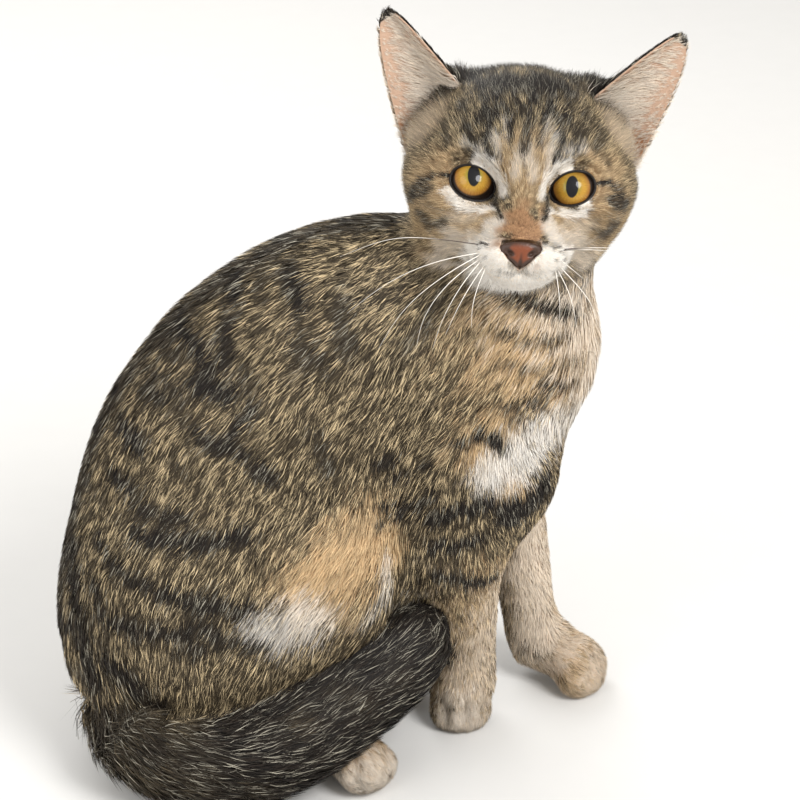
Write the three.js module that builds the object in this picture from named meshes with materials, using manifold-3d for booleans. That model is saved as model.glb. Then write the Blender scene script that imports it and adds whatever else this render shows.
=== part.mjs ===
// A sitting kitten, life size, in millimetres: +X forwards along the body, +Y to its left, +Z up.
// The flesh is one blended body of round masses, out to the tips of the coat, and thin seams
// part it into head, neck, trunk, legs and paws. The ears and the tail are lofts, the eyes balls.
import * as THREE from 'three';
import Module from 'manifold-3d';
import { LoftGeometry } from 'three/addons/geometries/LoftGeometry.js';
import { mergeVertices } from 'three/addons/utils/BufferGeometryUtils.js';

// ---- Driving dimensions -------------------------------------------------------------------

const GAP = 0.3; // free space between neighbouring parts
const MIN_STEP = 0.4; // shortest step when feeling for the surface of a field
const FLOOR = 0; // height of the flats that the body rests on

// The head's own frame starts midway between the eyes, at the front of them:
// f points out of the face, l to the kitten's left and u to its crown.
const BROW_POINT = new THREE.Vector3(35, -34.7, 223.3);
const FACE_TURN = -98.5; // degrees from +X to where the face points, seen from above
const FACE_PITCH = 26; // degrees the face looks up
const FACE_ROLL = 3.6; // degrees the crown leans to the kitten's left

const EYE = { radius: 9, apart: 33.4, sink: 8.5 };
const ORBIT = [7, 8.2, 6.8]; // half sizes of the hollow that opens the lids over each eye

// The ears in the head's frame, with l measured outwards: the middle of each root and each tip,
// and the two ways their sections spread, towards the outer edge and out of the open face.
const EARS = {
  right: { side: -1, root: new THREE.Vector3(-27, 23.5, 15), tip: new THREE.Vector3(-20, 47, 57.5) },
  left: { side: 1, root: new THREE.Vector3(-27, 25.5, 15), tip: new THREE.Vector3(-20, 52, 54.5) },
};
const EAR_ACROSS = new THREE.Vector3(-0.3, 0.81, -0.5).normalize();
const EAR_FRONT = new THREE.Vector3(0.93, 0.25, -0.23).normalize();
const EAR = { outerHalf: 15.5, innerHalf: 14.5, cup: 11, shell: 2.6 };
const NECK_TOP = 188; // height of the seam under the jaw
const WRIST = 15.5; // height of the seam over a front paw

// The tail's route, hand-laid from the rump round the right side to its lifted tip,
// each stop with its radius out to the tips of the fur.
const TAIL_ROUTE = [
  [-92, 10, 22, 17],
  [-103, -13, 18, 17.5],
  [-96, -38, 17.5, 18],
  [-77, -50, 17.5, 18],
  [-57, -51, 21, 18],
  [-41, -48, 29, 18],
  [-26, -42, 37, 17.5],
  [-12, -37, 43, 16.5],
  [-3, -34, 49, 14.5],
  [3, -33, 54, 11],
  [6, -32, 58, 3],
];
const TAIL_SIDES = 12;
const TAIL_STEPS = 21; // sections along the whole tail, shared by its three lengths
const TAIL_PITCH = 8; // about how far apart they are

// ---- Fields: each takes x, y, z and gives the distance to a surface, negative inside --------

/** An ellipsoid at a centre, its radii along x, y, z, then turned by degrees about y and z. */
function mass([cx, cy, cz], [rx, ry, rz], pitch = 0, yaw = 0) {
  const turn = new THREE.Matrix4().makeRotationFromEuler(
    new THREE.Euler(0, THREE.MathUtils.degToRad(pitch), THREE.MathUtils.degToRad(yaw), 'ZYX'),
  );
  const m = turn.transpose().elements;
  return (x, y, z) => {
    const dx = x - cx;
    const dy = y - cy;
    const dz = z - cz;
    const px = (m[0] * dx + m[4] * dy + m[8] * dz) / rx;
    const py = (m[1] * dx + m[5] * dy + m[9] * dz) / ry;
    const pz = (m[2] * dx + m[6] * dy + m[10] * dz) / rz;
    const near = Math.hypot(px, py, pz);
    const slope = Math.hypot(px / rx, py / ry, pz / rz);
    return slope < 1e-9 ? -Math.min(rx, ry, rz) : (near * (near - 1)) / slope;
  };
}

/** A rod from one point to another whose radius runs evenly from ra to rb. */
function limb([ax, ay, az], [bx, by, bz], ra, rb) {
  const ux = bx - ax;
  const uy = by - ay;
  const uz = bz - az;
  const span = ux * ux + uy * uy + uz * uz;
  return (x, y, z) => {
    const dx = x - ax;
    const dy = y - ay;
    const dz = z - az;
    const t = THREE.MathUtils.clamp((dx * ux + dy * uy + dz * uz) / span, 0, 1);
    return Math.hypot(dx - t * ux, dy - t * uy, dz - t * uz) - THREE.MathUtils.lerp(ra, rb, t);
  };
}

/** All the given fields as one, with fillets of about the given width where they meet. */
function blend(width, ...fields) {
  return (x, y, z) => {
    let d = fields[0](x, y, z);
    for (let i = 1; i < fields.length; i += 1) {
      const e = fields[i](x, y, z);
      const h = Math.max(width - Math.abs(d - e), 0) / width;
      d = Math.min(d, e) - h * h * width * 0.25;
    }
    return d;
  };
}

/** A field with another one scooped out of it, its rim rounded over the given width. */
function scooped(field, scoop, width) {
  return (x, y, z) => {
    const d = field(x, y, z);
    const e = -scoop(x, y, z);
    const h = Math.max(width - Math.abs(d - e), 0) / width;
    return Math.max(d, e) + h * h * width * 0.25;
  };
}

/** The same field, mirrored to the other side of the middle plane y = 0. */
const mirrored = (field) => (x, y, z) => field(x, -y, z);

/** A field made in the head's frame, read in the body's. */
function inHead(field) {
  const back = HEAD.clone().invert();
  const p = new THREE.Vector3();
  return (x, y, z) => {
    p.set(x, y, z).applyMatrix4(back);
    return field(p.x, p.y, p.z);
  };
}

/** Everything behind a plane, which passes through a point and faces along a normal. */
function behind(point, normal) {
  const n = new THREE.Vector3(...normal).normalize();
  const reach = n.dot(new THREE.Vector3(...point));
  return (x, y, z) => n.x * x + n.y * y + n.z * z - reach;
}

/** The side of the crease between two bodies that belongs to the first, as a true distance. */
function nearer(first, second) {
  const step = 0.5;
  const side = (x, y, z) => first(x, y, z) - second(x, y, z);
  return (x, y, z) => {
    const d = side(x, y, z);
    const gx = side(x + step, y, z) - side(x - step, y, z);
    const gy = side(x, y + step, z) - side(x, y - step, z);
    const gz = side(x, y, z + step) - side(x, y, z - step);
    return d / Math.max(Math.hypot(gx, gy, gz) / (2 * step), 0.25);
  };
}

/** What lies inside every one of the given fields. */
const common = (...fields) => (x, y, z) => Math.max(...fields.map((field) => field(x, y, z)));

function headFrame() {
  const turn = new THREE.Euler(
    THREE.MathUtils.degToRad(-FACE_ROLL),
    THREE.MathUtils.degToRad(-FACE_PITCH),
    THREE.MathUtils.degToRad(FACE_TURN),
    'ZYX',
  );
  return new THREE.Matrix4().makeRotationFromEuler(turn).setPosition(BROW_POINT);
}

const HEAD = headFrame();

// ---- The masses of the body ---------------------------------------------------------------

function headMasses() {
  const pair = (field) => [field, mirrored(field)];
  const skull = blend(
    12,
    mass([-27, 0, 11], [33, 33, 31.5]),
    mass([-44, 0, 0], [17, 24, 24]),
    ...pair(mass([-18, 23, 1], [17, 15, 17])),
    ...pair(mass([-16, 18, -12], [15, 13, 12])),
    limb([-2, 0, -20], [-28, 0, -10], 10, 19),
  );
  const face = blend(
    6,
    mass([0, 0, -18], [14, 15, 11]),
    limb([-3, 0, 6], [11, 0, -17], 9, 6.5),
    mass([11.5, 0, -20.5], [6, 7, 5.5]),
    ...pair(mass([-10, 15.5, 10], [9, 9, 8])),
    ...pair(mass([-7, 19, -11], [11, 12, 9])),
    ...pair(mass([7.5, 7.5, -23.5], [9.5, 9, 7.5])),
    mass([5, 0, -29.5], [7.5, 8, 5.5]),
  );
  const orbits = blend(1, ...pair(mass([3, EYE.apart / 2, 0], ORBIT)));
  return inHead(scooped(blend(7, skull, face), orbits, 3));
}

function torsoMasses() {
  return blend(
    18,
    mass([-43, 0, 116], [91, 44, 63], -51),
    mass([-82, 0, 50], [45, 46, 52]),
    mass([-10, 0, 159], [40, 32, 37]),
    mass([31, 0, 145], [41, 35, 40]),
    mass([18, 0, 98], [33, 27, 38]),
    mass([-25, 0, 62], [42, 30, 40]),
    limb([31, 0, 168], [43, -6, 196], 29.5, 27),
  );
}

function thighMasses() {
  return blend(
    12,
    mass([-62, -27, 70], [48, 27, 50]),
    mass([-30, -37, 84], [24, 19, 27]),
    limb([-34, -36, 70], [-70, -20, 20], 17, 14),
  );
}

function footMasses(heel, toes) {
  return blend(4, limb(heel, toes, 12, 9.5), ...toeBalls(heel, toes, 10.5, 10.5));
}

/** Two pairs of toes in front of a paw, spread across the way it points. */
function toeBalls(from, to, spread, radius) {
  const way = new THREE.Vector3(to[0] - from[0], to[1] - from[1], 0).normalize();
  const across = new THREE.Vector3(-way.y, way.x, 0);
  return [-0.75, -0.25, 0.25, 0.75].map((side) => {
    const lead = 6 - 5 * Math.abs(side);
    const centre = new THREE.Vector3(to[0], to[1], radius * 0.7)
      .addScaledVector(way, lead)
      .addScaledVector(across, side * spread);
    return mass(centre.toArray(), [radius * 0.62, radius * 0.62, radius * 0.78]);
  });
}

function rightForelegMasses() {
  const paw = blend(4, limb([22, -9, 16], [20, -15, 10], 11, 9), ...toeBalls([21, -8], [20, -16], 9, 9));
  return blend(
    10,
    mass([27, -25, 117], [25, 15, 36]),
    limb([32, -25, 112], [14, -24, 82], 19, 15),
    limb([17, -22, 76], [22, -11, 24], 16, 11.5),
    paw,
  );
}

function leftForelegMasses() {
  const paw = blend(4, limb([56, 12, 13], [68, 2, 12], 9.5, 10), ...toeBalls([60, 8], [69, 0], 9.5, 10.5));
  return blend(
    10,
    mass([27, 25, 117], [25, 15, 36]),
    limb([36, 25, 112], [40, 22, 88], 18, 14),
    limb([44, 21, 82], [54, 14, 20], 14, 9.5),
    paw,
  );
}

const bodies = {
  head: headMasses(),
  torso: torsoMasses(),
  thighRight: thighMasses(),
  thighLeft: mirrored(thighMasses()),
  footRight: footMasses([-58, 2, 13], [-22, -48, 10]),
  footLeft: footMasses([-62, 22, 13], [2, 10, 10]),
  foreRight: rightForelegMasses(),
  foreLeft: leftForelegMasses(),
};

/** The body as one blended whole, without the pieces named. */
function fleshWithout(...left) {
  const kept = Object.entries(bodies).filter(([name]) => !left.includes(name));
  return blend(9, ...kept.map(([, field]) => field));
}

const flesh = fleshWithout();

// ---- Solids -------------------------------------------------------------------------------

const wasm = await Module();
wasm.setup();

/** A geometry with its corners only, so that those that meet can be merged. */
function stripped(geometry) {
  const bare = new THREE.BufferGeometry();
  bare.setAttribute('position', geometry.attributes.position);
  bare.setIndex(geometry.index);
  return bare;
}

/** A closed three.js geometry as a manifold solid, placed by a matrix. */
function toManifold(geometry, matrix = new THREE.Matrix4()) {
  const merged = mergeVertices(stripped(geometry), 1e-6);
  merged.applyMatrix4(matrix);
  return new wasm.Manifold(
    new wasm.Mesh({
      numProp: 3,
      vertProperties: new Float32Array(merged.attributes.position.array),
      triVerts: new Uint32Array(merged.index.array),
    }),
  );
}

/** How far a ray runs inside a field before it first comes out. */
function reachInside(field, from, way) {
  const point = new THREE.Vector3();
  const depthAt = (t) => {
    point.copy(from).addScaledVector(way, t);
    return -field(point.x, point.y, point.z);
  };
  let inside = 0;
  let outside = MIN_STEP;
  for (let depth = depthAt(outside); depth > 0; depth = depthAt(outside)) {
    inside = outside;
    outside += Math.max(0.6 * depth, MIN_STEP);
  }
  for (let halving = 0; halving < 12; halving += 1) {
    const middle = (inside + outside) / 2;
    if (depthAt(middle) > 0) inside = middle;
    else outside = middle;
  }
  return inside;
}

/** A ball of even triangles drawn out from a centre until it lines the inside of a field. */
function lineBall(field, { centre, detail }) {
  const from = new THREE.Vector3(...centre);
  const ball = mergeVertices(stripped(new THREE.IcosahedronGeometry(1, detail)), 1e-4);
  const spots = ball.attributes.position;
  const way = new THREE.Vector3();
  for (let n = 0; n < spots.count; n += 1) {
    way.fromBufferAttribute(spots, n).normalize();
    const reach = reachInside(field, from, way);
    spots.setXYZ(n, ...way.multiplyScalar(reach).add(from).toArray());
  }
  return toManifold(ball);
}

/** Rings drawn out from a straight line until they line the inside of a field. */
function lineRod(field, { from, to, sides, steps }) {
  const start = new THREE.Vector3(...from);
  const end = new THREE.Vector3(...to);
  const along = end.clone().sub(start).normalize();
  const side = new THREE.Vector3(1, 0, 0).cross(along).normalize();
  const over = along.clone().cross(side);
  const rings = [];
  for (let step = 0; step <= steps; step += 1) {
    const centre = start.clone().lerp(end, step / steps);
    const ring = [];
    for (let n = 0; n < sides; n += 1) {
      const angle = (2 * Math.PI * n) / sides;
      const way = side.clone().multiplyScalar(Math.cos(angle)).addScaledVector(over, Math.sin(angle));
      ring.push(way.multiplyScalar(reachInside(field, centre, way)).add(centre));
    }
    rings.push(ring);
  }
  return toManifold(new LoftGeometry(rings, { closed: true, capStart: true, capEnd: true }));
}

/** The lining of a field, by a piece's ball or rod. */
const lineOut = (field, { ball, rod }) => (ball ? lineBall(field, ball) : lineRod(field, rod));

/** The same ball or rod with fewer faces, for the seams inside the body. */
function coarser({ ball, rod }) {
  if (ball) return { ball: { ...ball, detail: Math.ceil(ball.detail * 0.5) } };
  return { rod: { ...rod, steps: Math.ceil(rod.steps * 0.5) } };
}

/** A box so large that one of its faces serves as a plane: all that lies behind it. */
function halfSpace(point, normal) {
  const size = 600;
  const box = new THREE.BoxGeometry(size, size, size).translate(0, 0, -size / 2);
  const facing = new THREE.Quaternion().setFromUnitVectors(
    new THREE.Vector3(0, 0, 1),
    new THREE.Vector3(...normal).normalize(),
  );
  return toManifold(
    box,
    new THREE.Matrix4().compose(new THREE.Vector3(...point), facing, new THREE.Vector3(1, 1, 1)),
  );
}

/** One cupped ear: crescent sections from its root in the skull to its rounded tip. */
function earLoft({ side, root, tip }, grow = 0) {
  const rows = 8;
  const columns = 6;
  const sections = [];
  for (let row = 0; row <= rows; row += 1) {
    const left = (1 - row / rows) ** 1.8; // share of the ear that is left above this section
    const deeper = row === 0 ? grow / tip.distanceTo(root) : 0;
    const centre = tip.clone().lerp(root, left + deeper);
    const outwards = EAR.outerHalf * left ** 0.45 + 0.8; // a round outer edge
    const inwards = EAR.innerHalf * left ** 0.75 + 0.8; // a straight inner one
    const cup = EAR.cup * left ** 0.8 + 0.3;
    const shell = EAR.shell * (0.6 + 0.4 * left);
    const inner = [];
    const outer = [];
    for (let column = 0; column <= columns; column += 1) {
      const across = (2 * column) / columns - 1;
      const half = across > 0 ? outwards : inwards;
      const s = across * (1 + grow / Math.hypot(half, 2 * cup));
      const normal = new THREE.Vector2(-2 * cup * s, half).normalize();
      const middle = new THREE.Vector2(s * half, -cup * (1 - s * s));
      inner.push(middle.clone().addScaledVector(normal, grow));
      outer.unshift(middle.addScaledVector(normal, -shell - grow));
    }
    const section = [...inner, ...outer].map((spot) => {
      const point = centre.clone().addScaledVector(EAR_ACROSS, spot.x).addScaledVector(EAR_FRONT, spot.y);
      return point.setY(side * point.y);
    });
    sections.push(side > 0 ? section : section.reverse());
  }
  return new LoftGeometry(sections, { closed: true, capStart: true, capEnd: true });
}

/** A length of the tail between two of its sections, each a ring flattened at the floor. */
function tailLoft(from, to, grow = 0) {
  const route = new THREE.CatmullRomCurve3(
    TAIL_ROUTE.map(([x, y, z]) => new THREE.Vector3(x, y, z)),
    false,
    'centripetal',
  );
  const radii = new THREE.CatmullRomCurve3(TAIL_ROUTE.map(([, , , r]) => new THREE.Vector3(r, 0, 0)));
  const up = new THREE.Vector3(0, 0, 1);
  const sections = [];
  for (let row = from; row <= to; row += 1) {
    const ahead = row === from && from > 0 ? GAP / 2 / TAIL_PITCH : 0;
    const t = Math.min((row + ahead) / TAIL_STEPS, 1);
    const centre = route.getPoint(t);
    const radius = radii.getPoint(t).x + grow;
    const way = route.getTangent(t);
    const side = new THREE.Vector3().crossVectors(way, up).normalize();
    const over = new THREE.Vector3().crossVectors(side, way).normalize();
    const ring = [];
    for (let n = 0; n < TAIL_SIDES; n += 1) {
      const angle = (-2 * Math.PI * n) / TAIL_SIDES;
      const point = centre
        .clone()
        .addScaledVector(side, radius * Math.cos(angle))
        .addScaledVector(over, radius * Math.sin(angle));
      ring.push(point);
    }
    sections.push(ring);
  }
  return new LoftGeometry(sections, { closed: true, capStart: true, capEnd: true });
}

/** A ball of an eye, or the socket round it. */
function eyeBall(side, grow = 0) {
  const ball = new THREE.SphereGeometry(EYE.radius + grow, 12, 8);
  ball.rotateZ(-Math.PI / 2);
  ball.translate(-EYE.sink, (side * EYE.apart) / 2, 0);
  return ball;
}

/** The room above the floor, which gives every foot its flat. */
const room = toManifold(new THREE.BoxGeometry(600, 600, 400).translate(0, 0, FLOOR + 200));

// ---- Parting the body into its nodes --------------------------------------------------------

const COAT = { roughness: 0.85, metalness: 0 };
const COLOURS = {
  agouti: 0x7d6c55,
  dark: 0x2e2722,
  buff: 0xc9a578,
  cream: 0xe0cdb0,
  earPink: 0xc99f86,
  amber: 0xc98a2b,
};

const rest = (...names) => fleshWithout(...names);

// The pieces of flesh, in the order in which they take their share of the body. A piece lies
// behind its planes, or on its own side of the crease between its masses and the others.
const FLESH = [
  {
    name: 'head',
    colour: COLOURS.agouti,
    planes: [
      [[0, -20, NECK_TOP], [0, 0.12, -1]],
      [[5, 2, 203.5], [-0.8, 0.35, -0.48]],
    ],
    ball: { centre: [38, -20, 216], detail: 8 },
  },
  {
    name: 'paw_front_right',
    colour: COLOURS.cream,
    planes: [[[22, -10, WRIST], [0, 0.25, 1]]],
    within: [[21, -13, 9], 28],
    ball: { centre: [21, -13, 9], detail: 3 },
  },
  {
    name: 'paw_front_left',
    colour: COLOURS.cream,
    planes: [[[57, 11, WRIST], [-0.55, 0.3, 0.78]]],
    within: [[66, 4, 10], 28],
    ball: { centre: [66, 4, 10], detail: 3 },
  },
  {
    name: 'paw_hind_right',
    colour: COLOURS.cream,
    crease: [bodies.footRight, rest('footRight')],
    ball: { centre: [-32, -34, 10], detail: 3 },
  },
  {
    name: 'paw_hind_left',
    colour: COLOURS.cream,
    crease: [bodies.footLeft, rest('footLeft')],
    ball: { centre: [-20, 15, 10], detail: 3 },
  },
  {
    name: 'foreleg_right',
    colour: COLOURS.agouti,
    crease: [bodies.foreRight, rest('foreRight')],
    rod: { from: [26, -24, 140], to: [21, -10, 10], sides: 12, steps: 14 },
  },
  {
    name: 'foreleg_left',
    colour: COLOURS.agouti,
    crease: [bodies.foreLeft, rest('foreLeft')],
    rod: { from: [30, 24, 140], to: [56, 12, 10], sides: 12, steps: 14 },
  },
  {
    name: 'hindleg_right',
    colour: COLOURS.agouti,
    crease: [bodies.thighRight, rest('thighRight')],
    ball: { centre: [-52, -32, 66], detail: 4 },
  },
  {
    name: 'hindleg_left',
    colour: COLOURS.agouti,
    crease: [bodies.thighLeft, rest('thighLeft')],
    ball: { centre: [-52, 32, 66], detail: 4 },
  },
  {
    name: 'neck',
    colour: COLOURS.agouti,
    planes: [[[32, 0, 166], [-0.47, 0.06, -0.88]]],
    ball: { centre: [32, 0, 176], detail: 4 },
  },
  {
    name: 'trunk',
    colour: COLOURS.agouti,
    planes: [],
    ball: { centre: [-40, 0, 105], detail: 5 },
  },
];

const TAIL = [
  { name: 'tail_base', from: 0, to: 7 },
  { name: 'tail_middle', from: 7, to: 14 },
  { name: 'tail_tip', from: 14, to: TAIL_STEPS },
];

/** A plain ball that keeps a small piece's share of space from running on past it. */
function ballRound(centre, radius) {
  return toManifold(new THREE.IcosahedronGeometry(radius, 2).translate(...centre));
}

/** The part of space that a piece may fill: as solids grown by a margin, and as a wide field. */
function shareOf({ planes, within, crease, ...shape }) {
  const spare = 8; // how far the lining runs on past the seams that then cut it
  if (crease) {
    const side = nearer(...crease);
    const nearby = (x, y, z) => crease[0](x, y, z) - 2 * spare;
    const own = (grow) => (x, y, z) => Math.max(side(x, y, z) - grow, nearby(x, y, z));
    return {
      near: (x, y, z) => side(x, y, z) - spare,
      solids: (grow) => [lineOut(own(grow), coarser(shape))],
    };
  }
  const grown = (grow) =>
    planes.map(([point, normal]) => {
      const facing = new THREE.Vector3(...normal).normalize();
      return [facing.clone().multiplyScalar(grow).add(new THREE.Vector3(...point)).toArray(), normal];
    });
  const fields = grown(spare).map((plane) => behind(...plane));
  return {
    near: common(() => -1, ...fields),
    solids: (grow) => [
      ...grown(grow).map((plane) => halfSpace(...plane)),
      ...(within ? [ballRound(...within)] : []),
    ],
  };
}

/** The largest body of a solid: cutting can leave loose crumbs along a crease. */
function largest(solid) {
  return solid.decompose().reduce((a, b) => (b.volume() > a.volume() ? b : a));
}

/** A manifold solid as a named mesh with its own coloured material. */
function toMesh(name, solid, colour, finish = COAT) {
  const { vertProperties, triVerts } = solid.getMesh();
  const geometry = new THREE.BufferGeometry();
  geometry.setAttribute('position', new THREE.BufferAttribute(vertProperties, 3));
  geometry.setIndex(new THREE.BufferAttribute(triVerts, 1));
  geometry.computeVertexNormals();
  const mesh = new THREE.Mesh(geometry, new THREE.MeshStandardMaterial({ color: colour, ...finish }));
  mesh.name = name;
  return mesh;
}

function buildKitten() {
  const kitten = new THREE.Group();
  const taken = []; // what earlier pieces hold, grown by the gap
  for (const ear of Object.values(EARS)) {
    const label = ear.side > 0 ? 'left' : 'right';
    kitten.add(toMesh(`ear_${label}`, toManifold(earLoft(ear), HEAD), COLOURS.earPink));
    kitten.add(
      toMesh(`eye_${label}`, toManifold(eyeBall(ear.side), HEAD), COLOURS.amber, {
        roughness: 0.1,
        metalness: 0,
      }),
    );
    taken.push(toManifold(earLoft(ear, GAP), HEAD), toManifold(eyeBall(ear.side, GAP), HEAD));
  }
  for (const { name, from, to } of TAIL) {
    kitten.add(toMesh(name, toManifold(tailLoft(from, to)).intersect(room), COLOURS.dark));
  }
  taken.push(toManifold(tailLoft(0, TAIL_STEPS, GAP)));
  for (const piece of FLESH) {
    const share = shareOf(piece);
    const lining = lineOut(common(flesh, share.near), piece);
    const whole = share.solids(-GAP / 2).reduce((body, own) => body.intersect(own), lining);
    const solid = taken.reduce((left, other) => left.subtract(other), whole.intersect(room));
    kitten.add(toMesh(piece.name, largest(solid), piece.colour));
    taken.push(share.solids(GAP / 2).reduce((body, own) => body.intersect(own), room));
  }
  const box = new THREE.Box3().setFromObject(kitten);
  const middle = box.getCenter(new THREE.Vector3());
  kitten.position.set(-middle.x, -middle.y, -box.min.z); // the origin is under its middle
  return kitten;
}

export default buildKitten();
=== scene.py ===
"""A sitting tabby kitten: one skin, its eyes, nose and whiskers, and its coat in tufts."""

import logging
import math
from dataclasses import dataclass, field, fields
from enum import Enum
from typing import Any, Sequence

import bmesh
import bpy
import numpy as np
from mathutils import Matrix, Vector
from mathutils.bvhtree import BVHTree
from mathutils.kdtree import KDTree


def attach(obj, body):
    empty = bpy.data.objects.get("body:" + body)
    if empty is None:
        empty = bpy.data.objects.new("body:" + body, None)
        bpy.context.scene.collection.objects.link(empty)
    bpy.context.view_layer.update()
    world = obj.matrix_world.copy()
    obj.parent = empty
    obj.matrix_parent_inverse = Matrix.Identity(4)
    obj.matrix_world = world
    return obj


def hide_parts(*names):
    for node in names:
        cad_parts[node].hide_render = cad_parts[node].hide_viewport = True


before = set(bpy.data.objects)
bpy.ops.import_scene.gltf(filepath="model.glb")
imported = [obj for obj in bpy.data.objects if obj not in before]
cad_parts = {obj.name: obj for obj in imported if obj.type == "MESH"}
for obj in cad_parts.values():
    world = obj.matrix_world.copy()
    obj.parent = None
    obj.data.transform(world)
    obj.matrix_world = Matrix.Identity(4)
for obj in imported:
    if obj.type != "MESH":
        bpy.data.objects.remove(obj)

LOG = logging.getLogger("kitten")
MM = 0.001
SEED = 20
FAR = 99.0  # a distance in millimetres that stands for out of reach
PIECE_LIMIT = 195_000  # triangles, so that no piece's mesh file is thinned
Array = np.ndarray
Thing = bpy.types.Object
Triple = tuple[float, float, float]
Colour = tuple[float, ...]


# ---- Small tools on arrays of points, in millimetres ----


def unit(v: Array) -> Array:
    """The vectors at length one."""
    return v / np.maximum(np.linalg.norm(v, axis=-1, keepdims=True), 1e-9)


def far(v: Array) -> Array:
    """The length of each row."""
    return np.linalg.norm(v, axis=1)


def ramp(x: Array, low: float, high: float) -> Array:
    """A smooth step from 0 at low to 1 at high, or down where low is above high."""
    t = np.clip((x - low) / (high - low), 0, 1)
    return t * t * (3 - 2 * t)


def mottle(points: Array, size: float, seed: int) -> Array:
    """An even, seeded unevenness of about -1 to 1, with lumps of about the given size.

    Args:
        points: where it is read, in millimetres.
        size: the width of a lump.
        seed: which of the many patterns.

    Returns:
        One value for each point.
    """
    rng = np.random.default_rng(seed)
    waves = unit(rng.normal(size=(9, 3))) * rng.uniform(0.7, 1.6, (9, 1)) * math.pi / size
    phases = rng.uniform(0, 2 * math.pi, 9)
    return np.sin(points @ waves.T + phases).sum(1) / 3.2


def to_line(points: Array, line: Sequence[Sequence[float]]) -> tuple[Array, Array]:
    """How far points are from a broken line.

    Args:
        points: the points.
        line: the line's stops.

    Returns:
        The distance of each point, and how far along the line its nearest spot is, from 0 to 1.
    """
    stops = np.asarray(line, float)
    best = np.full(len(points), 1e9)
    share = np.zeros(len(points))
    spans = len(stops) - 1
    for n in range(spans):
        way = stops[n + 1] - stops[n]
        t = np.clip(((points - stops[n]) @ way) / (way @ way), 0, 1)
        gap = far(points - stops[n] - t[:, None] * way)
        nearer = gap < best
        best = np.where(nearer, gap, best)
        share = np.where(nearer, (n + t) / spans, share)
    return best, share


# ---- Frames ----

EYE_RADIUS = 9.0
EYE_APART = 33.4
EYE_SINK = 8.5


def spots_of(obj: Thing) -> Array:
    """The corners of a mesh object, in millimetres.

    Args:
        obj: the object.

    Returns:
        One row for each corner.
    """
    found = np.zeros(len(obj.data.vertices) * 3)
    obj.data.vertices.foreach_get("co", found)
    return found.reshape(-1, 3) / MM


@dataclass(frozen=True)
class HeadFrame:
    """The head's own axes: f out of the face, l to the kitten's left, u to its crown."""

    origin: Array
    axes: Array

    @classmethod
    def from_eyes(cls) -> "HeadFrame":
        """The frame whose origin is midway between the fronts of the eyes.

        Returns:
            The frame, turned, pitched and rolled as the head is.
        """
        turn, pitch, roll = (math.radians(a) for a in (-98.5, 26, -3.6))
        out = Vector(
            (math.cos(turn) * math.cos(pitch), math.sin(turn) * math.cos(pitch), math.sin(pitch))
        )
        level = Vector((-math.sin(turn), math.cos(turn), 0))
        left = math.cos(roll) * level + math.sin(roll) * out.cross(level)
        axes = np.array([out, left, out.cross(left)])
        eyes = [spots_of(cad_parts[f"eye_{side}"]).mean(0) for side in ("right", "left")]
        return cls((eyes[0] + eyes[1]) / 2 + EYE_SINK * axes[0], axes)

    def into(self, points: Array) -> Array:
        """Points of the model, in the head's frame."""
        return (points - self.origin) @ self.axes.T

    def out(self, points: Array) -> Array:
        """Points of the head's frame, in the model's."""
        return points @ self.axes + self.origin


HEAD = HeadFrame.from_eyes()
BODY_ORIGIN = HEAD.origin - np.array([35, -34.7, 223.3])  # of the frame that mirrors at y = 0


def eye_middle(side: int) -> Array:
    """The middle of an eye's ball in the head's frame: side is -1 for the right eye, 1 left."""
    return np.array([-EYE_SINK, side * EYE_APART / 2, 0])


def mirrored(spots: Array) -> Array:
    """Places of the head, with those on its right brought over to its left."""
    return np.stack([spots[:, 0], np.abs(spots[:, 1]), spots[:, 2]], 1)


def in_body(points: Array) -> Array:
    """Points of the model, in the frame whose middle plane is y = 0."""
    return points - BODY_ORIGIN


# ---- Markings, with painted shade in the toes' creases, the same on the skin and on the coat ----


class Tone(Enum):
    """What a stroke of the coat's pattern does to its colour."""

    DARK = 0
    PALE = 1
    WARM = 2
    RUST = 3


@dataclass(frozen=True)
class Stroke:
    """A soft-edged stroke of colour along a line, with its half width and strength."""

    line: tuple[tuple[float, ...], ...]
    half: float
    strength: float

    def cover(self, points: Array, waver: Array) -> Array:
        """How much of the stroke each point gets, from 0 to its strength.

        Args:
            points: places in the frame of the stroke's line.
            waver: an unevenness that makes its edge ragged.

        Returns:
            One share for each point.
        """
        gap, _ = to_line(points, self.line)
        edge = gap + 0.35 * self.half * waver
        return self.strength * ramp(edge, 1.45 * self.half, 0.5 * self.half)


def strokes(*rows: tuple[Any, ...]) -> list[Stroke]:
    """Strokes, each from a row of its half width, its strength and the stops of its line."""
    return [Stroke(tuple(line), half, strength) for half, strength, *line in rows]


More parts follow.
